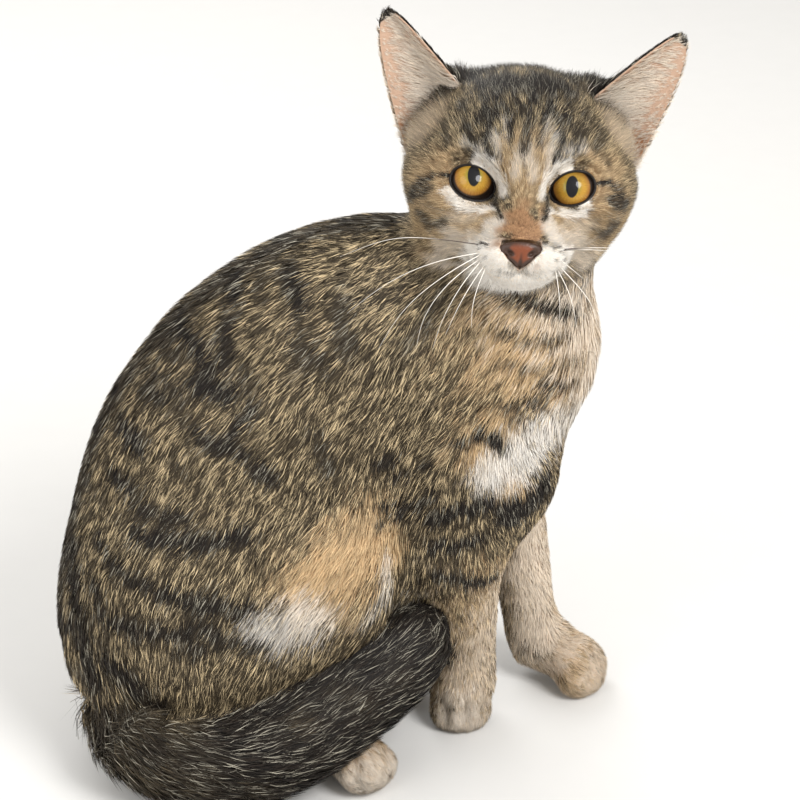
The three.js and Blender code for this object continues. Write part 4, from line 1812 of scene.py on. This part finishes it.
    def ear_marks(
        self, marks: Array, spots: Array, ears: list[tuple[Array, Array, Array]], near: Array
    ) -> tuple[Array, Array, Array]:
        """The ears' colours: bare inside, rusty in the pocket, dark on the back and tip.

        Args:
            marks: the pattern so far.
            spots: the corners in the head's frame.
            ears: where each corner is on each ear.
            near: the region of each corner.

        Returns:
            How bare and how rusty each corner is, and the pattern with the ears in it.
        """
        bare = np.zeros(len(spots))
        rust = np.zeros(len(spots))
        self.inside = np.zeros(len(spots), bool)
        for ear, (left, s, _) in zip(EARS, ears):
            mine = (near == "ear") & (spots[:, 1] * ear.side > 0)
            folded = spots.copy()
            folded[:, 1] *= ear.side
            middle = ear.spot(np.clip(left, 0, 1), s, -0.45 * ear.wall)
            middle[:, 1] *= ear.side
            open_side = ((folded - middle) @ ear.front) > 0
            inside = mine & open_side & (left > 0.03)
            self.inside |= inside
            bare[inside] = 1 - ramp(left[inside], 0.78, 0.95)
            edge = ramp(np.abs(s), 0.72, 0.95)
            rust[inside] = np.maximum(
                0.3 * edge[inside], ramp(left[inside], 0.6, 0.8) * ramp(s[inside], 0.0, 0.4)
            )
            behind = mine & ~open_side
            margin = ramp(s[behind], 0.5, 0.75) * ramp(left[behind], 0.05, 0.12)
            marks[behind, Tone.DARK.value] = 0.8 * (1 - margin)
            marks[behind, Tone.PALE.value] = 0.4 * margin
            marks[behind, Tone.WARM.value] = 0.6 * margin
            marks[behind, Tone.RUST.value] = 0
            marks[inside] = (0, 0.55, 0.7, 0)
            marks[behind & (left < 0.035), Tone.DARK.value] = 1
        return bare, rust, marks

    def line_ears(
        self, spots: Array, ears: list[tuple[Array, Array, Array]], near: Array
    ) -> None:
        """Gives the ears their long fine hairs inside, and longer ones behind and at the tip.

        Args:
            spots: the corners in the head's frame.
            ears: where each corner is on each ear.
            near: the region of each corner.
        """
        inside = self.inside
        self.near[inside] = "lining"
        for ear, (left, s, _) in zip(EARS, ears):
            mine = np.isin(near, ("ear", "lining")) & (spots[:, 1] * ear.side > 0)
            rise = unit(np.array(ear.tip) - np.array(ear.root))
            sweep = ear.across * 0.75 + rise * 0.75 + ear.front * 0.1
            sweep[1] *= ear.side
            lined = mine & inside
            self.flow[lined] = unit(sweep) @ HEAD.axes
            self.pelt[lined, LENGTH] = np.interp(left[lined], (0, 0.4, 1), (3.0, 7.0, 12.0))
            self.pelt[lined, LIFT] = np.interp(left[lined], (0, 0.5, 1), (10, 16, 26))
            self.pelt[lined, LENGTH] *= 1 - 0.72 * ramp(s[lined], 0.0, 0.85)
            self.pelt[lined, WIDTH] = 0.15
            self.pelt[lined, DENSITY] = np.interp(left[lined], (0, 0.5, 1), (1.0, 1.3, 4.5))
            self.pelt[lined, DENSITY] *= 1 - 0.5 * ramp(s[lined], -0.2, 0.7)
            ruff = mine & ~inside & (left > 0.5)
            low, inner = ramp(left[ruff], 0.5, 0.85), ramp(s[ruff], 0.3, -0.6)
            self.pelt[ruff, LENGTH] *= 1 + 2.4 * low * inner
            self.pelt[ruff, LIFT] *= 1 + 1.2 * low * inner
            tip = mine & (left < 0.05)
            self.pelt[tip, LENGTH : WIDTH + 1] = (3.2, 20, 0.14)


# ---- The coat ----


@dataclass
class Locks:
    """Some locks of the coat before they are strands: one row for each."""

    roots: Array
    normals: Array
    ways: Array
    uv: Array
    length: Array
    lift: Array
    width: Array
    marks: Array
    region: Array

    def taken(self, wanted: Array) -> "Locks":
        """Only the wanted ones."""
        return Locks(*(getattr(self, part.name)[wanted] for part in fields(self)))


STRANDS = (-1, 0, 1)  # of each lock: on the left, in the middle and on the right
STEPS: dict[str, int] = {"head": 2, "paw_front": 2, "paw_hind": 2, "tail": 4}


def steps_of(region: str) -> int:
    """How many points each strand has in a region."""
    return STEPS.get(region, 3)


def triangles_of(region: str) -> int:
    """How many triangles a lock of a region has."""
    return len(STRANDS) * (2 * steps_of(region) - 3)


def doubled(values: Array) -> Array:
    """Values by step and lock, as values by lock and corner: two a step and one at the tip."""
    return np.concatenate([np.repeat(values[:-1], 2, 0), values[-1:]], 0).swapaxes(0, 1)


@dataclass
class Coat:
    """The fur: locks of three fine strands that lie along the body and overlap."""

    skin: Skin
    triangles: int = 1_440_000
    fan: float = 7.0
    strays: float = 9.0
    patch: float = 0.0015
    floor: float = 0.2
    rng: np.random.Generator = field(init=False)
    trees: dict[bool, KDTree] = field(init=False)

    def __post_init__(self) -> None:
        """Prepares the search for the skin nearest to a point."""
        self.rng = np.random.default_rng(SEED)
        lining = self.skin.near == "lining"
        self.trees = {lined: self.tree_of(lining == lined) for lined in (True, False)}

    def tree_of(self, wanted: Array) -> KDTree:
        """A search tree over some corners of the skin.

        Args:
            wanted: which ones.

        Returns:
            The tree.
        """
        tree = KDTree(int(wanted.sum()))
        for number in np.flatnonzero(wanted):
            tree.insert(self.skin.surface.points[number], int(number))
        tree.balance()
        return tree

    def nearest(self, points: Array, lined: bool) -> Array:
        """The number of the skin's corner nearest to each point, inside the ears or not."""
        find = self.trees[lined].find
        return np.fromiter((find(p)[1] for p in points), int, len(points))

    def sown(self) -> Locks:
        """Sows roots over the whole skin, as close together as each region's pelt asks.

        Returns:
            All the locks.
        """
        skin, shape = self.skin, self.skin.surface
        corners = shape.points[shape.triangles]
        area = 0.5 * np.linalg.norm(
            np.cross(corners[:, 1] - corners[:, 0], corners[:, 2] - corners[:, 0]), axis=1
        )
        want = area * skin.pelt[shape.triangles, DENSITY].mean(1) * self.share_of(corners.mean(1))
        region = skin.near[shape.triangles[:, 0]]
        cost = np.array([triangles_of(n) for n in region])
        count = int(self.triangles * want.sum() / (want * cost).sum())
        LOG.info("locks asked for: %d, made: %d", want.sum(), count)
        picked = self.rng.choice(len(want), count, p=want / want.sum())
        a, b = self.rng.uniform(size=(2, count))
        over = a + b > 1
        a, b = np.where(over, 1 - a, a), np.where(over, 1 - b, b)
        shares = np.stack([1 - a - b, a, b], 1)
        of = shape.triangles[picked]

        def mixed(values: Array) -> Array:
            """Values of the corners at the roots."""
            return (values[of] * shares[..., None]).sum(1)

        uv = np.zeros(len(skin.obj.data.loops) * 2)
        skin.obj.data.uv_layers["OFBake"].data.foreach_get("uv", uv)
        uv = (uv.reshape(-1, 2)[shape.loops[picked]] * shares[..., None]).sum(1)
        roots = mixed(shape.points)
        tail = mixed(skin.tail_share[:, None])[:, 0]
        head = mixed(skin.head_share[:, None])[:, 0]
        pelt = mixed(skin.pelt)
        ways, normals = unit(mixed(skin.flow)), unit(mixed(shape.normals))
        stray = self.rng.normal(0, 1, (count, 3)) * (0.8 - 0.5 * head[:, None])
        middles = roots + pelt[:, [DEPTH]] * normals + 0.45 * pelt[:, [LENGTH]] * ways + stray
        marks = MarkingsAndCreaseShade(HEAD).read(middles, tail, head)
        on_ear = np.isin(skin.near[of[:, 0]], ("ear", "lining"))
        marks[on_ear] = skin.marks[of[on_ear, 0]]
        return Locks(
            roots,
            normals,
            ways,
            uv,
            pelt[:, LENGTH],
            pelt[:, LIFT],
            pelt[:, WIDTH],
            marks,
            skin.near[of[:, 0]],
        )

    def share_of(self, places: Array) -> Array:
        """How much of its coat each place keeps.

        Args:
            places: places on the skin.

        Returns:
            One share for each, 0 at the eyes, nose, lips and soles.
        """
        spots = HEAD.into(places)
        keep = ramp(lids_gap(spots), 0.75, 0.95)
        keep *= 1 - ramp(nose_share(spots), 0.1, 0.4)
        keep *= ramp(mouth_gap(spots), 0.1, 0.35)
        keep *= ramp(places[:, 2], 0.3, 1.5)
        return keep

    def combed(self, locks: Locks, steps: int) -> tuple[Array, Array, Array]:
        """Leads each lock over the skin.

        Args:
            locks: the locks.
            steps: how many points each has.

        Returns:
            The places on the skin, the normals there, and the ways, by step and lock.
        """
        skin, shape = self.skin, self.skin.surface
        lined = locks.region[0] == "lining"
        spot, normal, way = locks.roots, locks.normals, locks.ways
        swing = 10 * mottle(spot, 11, 21) + self.rng.normal(0, self.strays, len(spot))
        swing = np.radians(swing)[:, None]
        way = unit(np.cos(swing) * way + np.sin(swing) * np.cross(normal, way))
        places, normals, ways = [spot], [normal], [way]
        reach = (locks.length * np.cos(np.radians(locks.lift)) / (steps - 1))[:, None]
        for _ in range(steps - 1):
            ahead = spot + reach * way
            near = self.nearest(ahead, lined)
            there = shape.normals[near]
            off = ((ahead - shape.points[near]) * there).sum(1)[:, None]
            spot = ahead - np.clip(off, -0.6 * reach, 0.6 * reach) * there
            turned = way + 0.5 * skin.flow[near]
            way = unit(turned - (turned * there).sum(1)[:, None] * there)
            places.append(spot)
            normals.append(there)
            ways.append(way)
        return np.array(places), np.array(normals), np.array(ways)

    def strand(
        self, locks: Locks, paths: tuple[Array, Array, Array], chance: Array, turn: int
    ) -> dict[str, Array]:
        """One strand of each lock, a tapered ribbon that rises off the skin.

        Args:
            locks: the locks.
            paths: the places, normals and ways that combed led them by.
            chance: how light or dark each lock is.
            turn: which of STRANDS it is.

        Returns:
            Its corners, normals, hair values, map and pattern, by lock and corner.
        """
        rng, count = self.rng, len(locks.roots)
        places, normals, ways = paths
        t = np.linspace(0, 1, len(places))[:, None]
        angle = math.radians(self.fan) * turn + np.radians(rng.normal(0, 3, count))
        scale = rng.uniform(0.78, 1.12, count)
        high = locks.length * np.sin(np.radians(locks.lift)) * rng.uniform(0.6, 1.25, count)
        sides = np.cross(ways, normals)
        across = (t * locks.length * np.sin(angle) + 0.5 * turn * locks.width)[..., None]
        backed = ((1 - scale) * t * locks.length)[..., None]
        rise = (high * (t**0.8) * (1 - 0.22 * t**3))[..., None]
        line = places + across * sides - backed * ways + rise * normals
        roll = (rng.uniform(-1, 1, count) * math.radians(75))[None, :, None]
        wide = np.cos(roll) * sides + np.sin(roll) * normals
        face = unit(np.cos(roll) * normals - np.sin(roll) * sides)
        taper = np.interp(t[:, 0], (0, 0.45, 0.8, 1), (0.9, 1.0, 0.62, 0.0))[:, None, None]
        half = 0.5 * locks.width[None, :, None] * taper
        edge = np.concatenate([np.tile([-1.0, 1.0], len(places) - 1), [0.0]])
        shade = rng.uniform(size=count)
        own = np.clip(chance + rng.normal(0, 0.16, count), 0, 1)
        along = doubled(t)[0]
        local = np.stack([0.4 * edge + 0.3 * turn, 2 * along - 1], 1) * self.patch
        return {
            "points": doubled(line) + edge[:, None] * doubled(half * wide),
            "normals": doubled(unit(0.72 * normals + 0.28 * face)),
            "hair": np.stack(np.broadcast_arrays(along, own[:, None], shade[:, None]), 2),
            "uv": locks.uv[:, None] + local,
            "marks": np.repeat(locks.marks[:, None], len(edge), 1),
        }

    def strands_of(self, locks: Locks, steps: int) -> dict[str, Array]:
        """The mesh of some locks: three strands each.

        Args:
            locks: the locks.
            steps: how many points each strand has.

        Returns:
            Its corners, normals, hair values, map, pattern and faces.
        """
        paths = self.combed(locks, steps)
        lump = 1.0 if locks.region[0] == "head" else 1.4
        stray = 0.7 * self.rng.uniform(-0.5, 0.5, len(locks.roots))
        chance = 0.5 + 0.22 * mottle(locks.roots, lump, 31) + stray
        strands = [self.strand(locks, paths, chance, turn) for turn in STRANDS]
        joined = {key: np.concatenate([one[key] for one in strands]) for key in strands[0]}
        many, corners, _ = joined["points"].shape
        made = {key: values.reshape(many * corners, -1) for key, values in joined.items()}
        made["points"][:, 2] = np.maximum(made["points"][:, 2], self.floor)
        pattern = [
            face
            for k in range(0, 2 * steps - 4, 2)
            for face in ((k, k + 1, k + 3), (k, k + 3, k + 2))
        ]
        pattern.append((2 * steps - 4, 2 * steps - 3, 2 * steps - 2))
        faces = np.array(pattern)[None] + corners * np.arange(many)[:, None, None]
        made["faces"] = faces.reshape(-1, 3)
        return made

    def mesh(self, name: str, made: dict[str, Array]) -> Thing:
        """A mesh object.

        Args:
            name: its name.
            made: the arrays of strands_of.

        Returns:
            The object.
        """
        data = bpy.data.meshes.new(name)
        faces = made["faces"]
        data.vertices.add(len(made["points"]))
        data.vertices.foreach_set("co", (made["points"] * MM).astype(np.float32).ravel())
        data.loops.add(faces.size)
        data.loops.foreach_set("vertex_index", faces.astype(np.int32).ravel())
        data.polygons.add(len(faces))
        data.polygons.foreach_set("loop_start", np.arange(0, faces.size, 3, dtype=np.int32))
        data.update(calc_edges=True)
        data.polygons.foreach_set("use_smooth", np.ones(len(faces), bool))
        piece = bpy.data.objects.new(name, data)
        bpy.context.scene.collection.objects.link(piece)
        layer = data.uv_layers.new(name="OFBake")
        layer.data.foreach_set("uv", made["uv"][faces.ravel()].astype(np.float32).ravel())
        paint(piece, "hair", made["hair"])
        paint(piece, "marks", made["marks"])
        free = data.attributes.new("custom_normal", "FLOAT_VECTOR", "POINT")
        free.data.foreach_set("vector", made["normals"].astype(np.float32).ravel())
        data.update()
        return piece

    def grow(self) -> None:
        """Makes the whole coat, in pieces by region."""
        locks = self.sown()
        finish = CoatFinish().material()
        slots = {"tail": "fur_tail", "lining": "fur_pale"}
        for region in PELTS:
            mine = locks.taken(locks.region == region)
            if not len(mine.roots):
                continue
            room = PIECE_LIMIT // triangles_of(region)
            parts = -(-len(mine.roots) // room)
            order = np.argsort(mine.roots[:, 0] + 0.001 * mine.roots[:, 2])
            for number, chosen in enumerate(np.array_split(order, parts)):
                made = self.strands_of(mine.taken(chosen), steps_of(region))
                piece = self.mesh(f"coat_{region}_{number + 1}", made)
                dress(piece, finish, slots.get(region, "fur_agouti"))


# ---- Eyes, nose and whiskers ----


@dataclass(frozen=True)
class Eye:
    """An eye, a ball with a slight bulge at its clear front, turned to its gaze."""

    side: int
    name: str
    gaze: Triple
    bulge: float = 0.6

    def build(self, finish: EyeFinish, material: bpy.types.Material) -> None:
        """Makes the eye and dresses it.

        Args:
            finish: the sizes of its iris and pupil.
            material: its material.
        """
        bpy.ops.object.select_all(action="DESELECT")
        bpy.ops.mesh.primitive_uv_sphere_add(segments=72, ring_count=48, radius=EYE_RADIUS)
        ball = bpy.context.object
        ball.name = f"eyeball_{self.name}"
        gaze = unit(np.array(self.gaze))
        level = unit(np.cross([0, 0, 1], gaze))
        rise = np.cross(gaze, level)
        own = unit(spots_of(ball))
        turned = own[:, [0]] * level + own[:, [1]] * rise + own[:, [2]] * gaze
        radius = EYE_RADIUS + self.bulge * ramp(own[:, 2], 0.75, 0.99)
        place(ball, HEAD.out(eye_middle(self.side) + turned * radius[:, None]))
        flat = own * EYE_RADIUS / finish.scale
        flat[:, 0] *= np.where(own[:, 2] > 0, 1.0, 50.0)  # so that the back has no iris
        paint(ball, "gaze", flat[:, :2] + 0.5)
        choose(ball)
        bpy.ops.object.shade_smooth()
        dress(ball, material, "eye", f"eye_{self.name}")


EYES = (Eye(-1, "right", (8.6, 0.3, 2.5)), Eye(1, "left", (8.9, -0.6, 0.6)))


@dataclass(frozen=True)
class Nose:
    """The nose's leather: a domed plate over the end of the muzzle, with two nostrils."""

    across: int = 44
    down: int = 30
    top: float = -19.2
    height: float = 8.2
    dome: float = 1.2
    groove: float = 0.5
    nostril: float = 1.5
    thickness: float = 0.0012
    ahead: float = 40.0
    missed: float = 0.025

    def front_of(self, skin: Skin, left: Array, up: Array) -> Array:
        """How far forward the muzzle is behind the plate, evened out.

        Args:
            skin: the skin.
            left: where the plate's corners are along l.
            up: where they are along u.

        Returns:
            Their places along f.
        """
        tree = BVHTree.FromObject(skin.obj, bpy.context.evaluated_depsgraph_get())
        start = HEAD.out(np.stack([np.full_like(left, self.ahead), left, up], 1)) * MM
        way = Vector(-HEAD.axes[0])
        depth = np.array([tree.ray_cast(Vector(p), way)[3] or self.missed for p in start]) / MM
        front = self.ahead - depth
        front += skin.nose_bed * nose_share(np.stack([front, left, up], 1))
        net = front.reshape(self.down + 1, self.across + 1)
        for _ in range(6):
            net[1:-1, 1:-1] = (net[:-2, 1:-1] + net[2:, 1:-1] + net[1:-1, :-2] + net[1:-1, 2:]) / 4
        return net.ravel()

    def build(self, skin: Skin) -> None:
        """Makes the nose and dresses it.

        Args:
            skin: the skin that it lies on.
        """
        nose, row, step = grid(self.across, self.down)
        nose.name = "nose"
        t, s = row / self.down, 2 * step / self.across - 1
        out = s * np.interp(t, (0, 0.12, 0.35, 0.6, 0.8, 1), (5.6, 6.7, 6.9, 4.8, 2.6, 0.9))
        left = NOSE_MIDDLE + out
        up = self.top - self.height * t - 0.8 * (1 - t) * s * s
        front = self.front_of(skin, left, up)
        dome = np.clip(1 - np.abs(s) ** 3, 0, 1) ** 0.5
        dome *= np.clip(1 - np.abs(2 * t - 0.96) ** 4, 0, 1) ** 0.5
        groove = np.exp(-((out / 0.5) ** 2)) * ramp(t, 0.35, 0.6)
        aside, above = np.abs(out) - 3.5, up + 22.9
        hole = np.exp(-((aside / 1.25) ** 2) - ((above - 0.35 * aside) / 0.8) ** 2)
        slit = np.exp(-(((np.abs(out) - 4.9) / 0.9) ** 2) - ((up + 23.8) / 0.55) ** 2)
        dark = np.maximum(hole, slit)
        front = front - 0.5 + self.dome * dome - self.groove * groove - self.nostril * dark
        place(nose, HEAD.out(np.stack([front, left, up], 1)))
        # painted shade: the nostrils and the groove are darkened as shade in their hollows; the rim
        # is darkened too
        edge = ramp(np.abs(s), 0.3, 0.9) + ramp(t, 0.35, 0.0) + 0.9 * ramp(t, 0.6, 0.95)
        shade = np.clip(1.6 * dark + 0.75 * edge + 0.5 * groove, 0, 1)
        paint(nose, "parts", shade[:, None])
        if (Surface.of(nose).normals @ HEAD.axes[0]).mean() < 0:
            nose.data.flip_normals()
        apply(nose, "SOLIDIFY", thickness=self.thickness, offset=-1.0)
        bpy.ops.object.shade_smooth()
        dress(nose, NoseFinish().material(), "ear_skin")


# Each whisker's stops in the head's l and u, from the muzzle to its tip.
WHISKERS: tuple[tuple[tuple[float, float], ...], ...] = (
    ((-15.7, -19.8), (-32, -19.1), (-43.9, -19.5), (-58.9, -26.5)),
    ((-15.1, -23.4), (-27.8, -26.3), (-43.2, -33.6), (-55.7, -44.9)),
    ((-14.3, -23.8), (-23.7, -29.9), (-38, -41.6), (-44.9, -56.1)),
    ((-16.5, -26.4), (-24.3, -33.2), (-31.6, -44.5), (-32.5, -55.4)),
    ((-15.7, -27.8), (-20.3, -34.6), (-25.3, -45.8), (-27.1, -55.1)),
    ((-14.8, -29.2), (-19.4, -39.2), (-23.5, -50.3)),
    ((-14, -30.1), (-15.8, -39.8), (-15.2, -47.5)),
    ((13.8, -20.4), (22.6, -19.8), (32.5, -19.4)),
    ((13.1, -20.9), (21.2, -20.5), (28.7, -20.5)),
    ((12.9, -24.3), (16, -27.2), (20.5, -30.1)),
    ((11.9, -27.8), (12.6, -37.3), (13.2, -43.8)),
    ((13.5, -28.7), (16.4, -36.5), (19.1, -46.5)),
    ((15.1, -27.9), (22.7, -37), (25.4, -43.8)),
)


@dataclass(frozen=True)
class Whiskers:
    """The whiskers, tapered and gently curved, rooted in the skin of the muzzle."""

    points: int = 22
    sides: int = 6
    radii: Triple = (0.16, 0.15, 0.035)
    forward: tuple[float, ...] = (12, 17, 12, 3)
    upper: float = -23.0

    def build(self, skin: Skin) -> None:
        """Makes the whiskers, as one piece, and dresses them.

        Args:
            skin: the skin that they grow from.
        """
        tree = BVHTree.FromObject(skin.obj, bpy.context.evaluated_depsgraph_get())
        t = np.linspace(0, 1, self.points)
        tubes = []
        for stops in WHISKERS:
            stops = np.array([(out, *stop) for out, stop in zip(self.forward, stops)])
            line = rounded(HEAD.out(stops), self.points)
            found, normal, _, _ = tree.find_nearest(Vector(line[0] * MM))
            root = (np.array(found) - 0.0008 * np.array(normal)) / MM
            line += (root - line[0]) * (1 - t)[:, None] ** 3
            tube = swept(line, np.interp(t, (0, 0.1, 1), self.radii), self.sides)
            gaps = np.linalg.norm(spots_of(tube)[:, None] - line[None], axis=2)
            along = gaps.argmin(1) / (self.points - 1)
            dark = ramp(along, 0.5, 0.2) * (stops[0, 2] > self.upper)
            paint(tube, "parts", dark[:, None])
            tubes.append(tube)
        choose(*tubes)
        bpy.ops.object.join()
        whiskers = bpy.context.object
        whiskers.name = "whiskers"
        dress(whiskers, WhiskerFinish().material(), "fur_pale")


# ---- The studio ----


@dataclass(frozen=True)
class Studio:
    """A plain pale floor, soft lights and the camera."""

    azimuth: float = -10.0
    elevation: float = 27.0
    distance: float = 0.85
    lens: float = 107.1
    aim: Triple = (0.014371, 0.0060014, 0.130)
    world: float = 0.75

    def build(self) -> None:
        """Sets everything up."""
        scene = bpy.context.scene
        scene.view_settings.view_transform = "Standard"
        world = bpy.data.worlds.new("studio")
        world.use_nodes = True
        sky = world.node_tree.nodes["Background"]
        sky.inputs[0].default_value = (1.0, 0.985, 0.96, 1.0)
        sky.inputs[1].default_value = self.world
        scene.world = world
        self.floor()
        self.light("key", (0.5, -0.75, 0.95), 0.6, 13.0)
        self.light("fill", (-0.9, -0.5, 0.7), 0.9, 5.0)
        self.light("back", (-0.2, 0.9, 0.9), 0.8, 6.0)
        self.camera()

    def floor(self) -> None:
        """A wide plain floor."""
        bpy.ops.object.select_all(action="DESELECT")
        bpy.ops.mesh.primitive_plane_add(size=6.0, location=(0, 0, 0))
        floor = bpy.context.object
        floor.name = "floor"
        floor.data.materials.append(PlainFinish("floor", (0.72, 0.71, 0.69, 1.0), 0.8).material())

    def light(self, name: str, spot: Triple, size: float, watts: float) -> None:
        """A round soft light that faces the middle of the model.

        Args:
            name: its name.
            spot: where it is, in metres.
            size: its width.
            watts: its power.
        """
        data = bpy.data.lights.new(name, "AREA")
        data.shape = "DISK"
        data.size = size
        data.energy = watts
        lamp = bpy.data.objects.new(name, data)
        bpy.context.scene.collection.objects.link(lamp)
        lamp.location = spot
        way = Vector(self.aim) - Vector(spot)
        lamp.rotation_euler = way.to_track_quat("-Z", "Y").to_euler()

    def camera(self) -> None:
        """The camera, where the model is seen as it is meant to be."""
        turn, tilt = math.radians(self.azimuth), math.radians(self.elevation)
        level = math.cos(tilt)
        back = Vector((math.sin(turn) * level, -math.cos(turn) * level, math.sin(tilt)))
        data = bpy.data.cameras.new("camera")
        data.lens = self.lens
        data.sensor_width = 36
        data.clip_start = 0.05
        camera = bpy.data.objects.new("camera", data)
        bpy.context.scene.collection.objects.link(camera)
        camera.location = Vector(self.aim) + self.distance * back
        camera.rotation_euler = (-back).to_track_quat("-Z", "Y").to_euler()
        bpy.context.scene.camera = camera


def main() -> None:
    """Builds the kitten and its studio."""
    logging.basicConfig(level=logging.INFO, format="%(message)s")
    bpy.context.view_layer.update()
    skin = Skin().build()
    dress(skin.obj, SkinFinish().material(), "fur_agouti", *skin.nodes)
    clear = EyeFinish()
    material = clear.material()
    for eye in EYES:
        eye.build(clear, material)
    Nose().build(skin)
    Whiskers().build(skin)
    Coat(skin).grow()
    Studio().build()


if __name__ == "__main__":
    main()
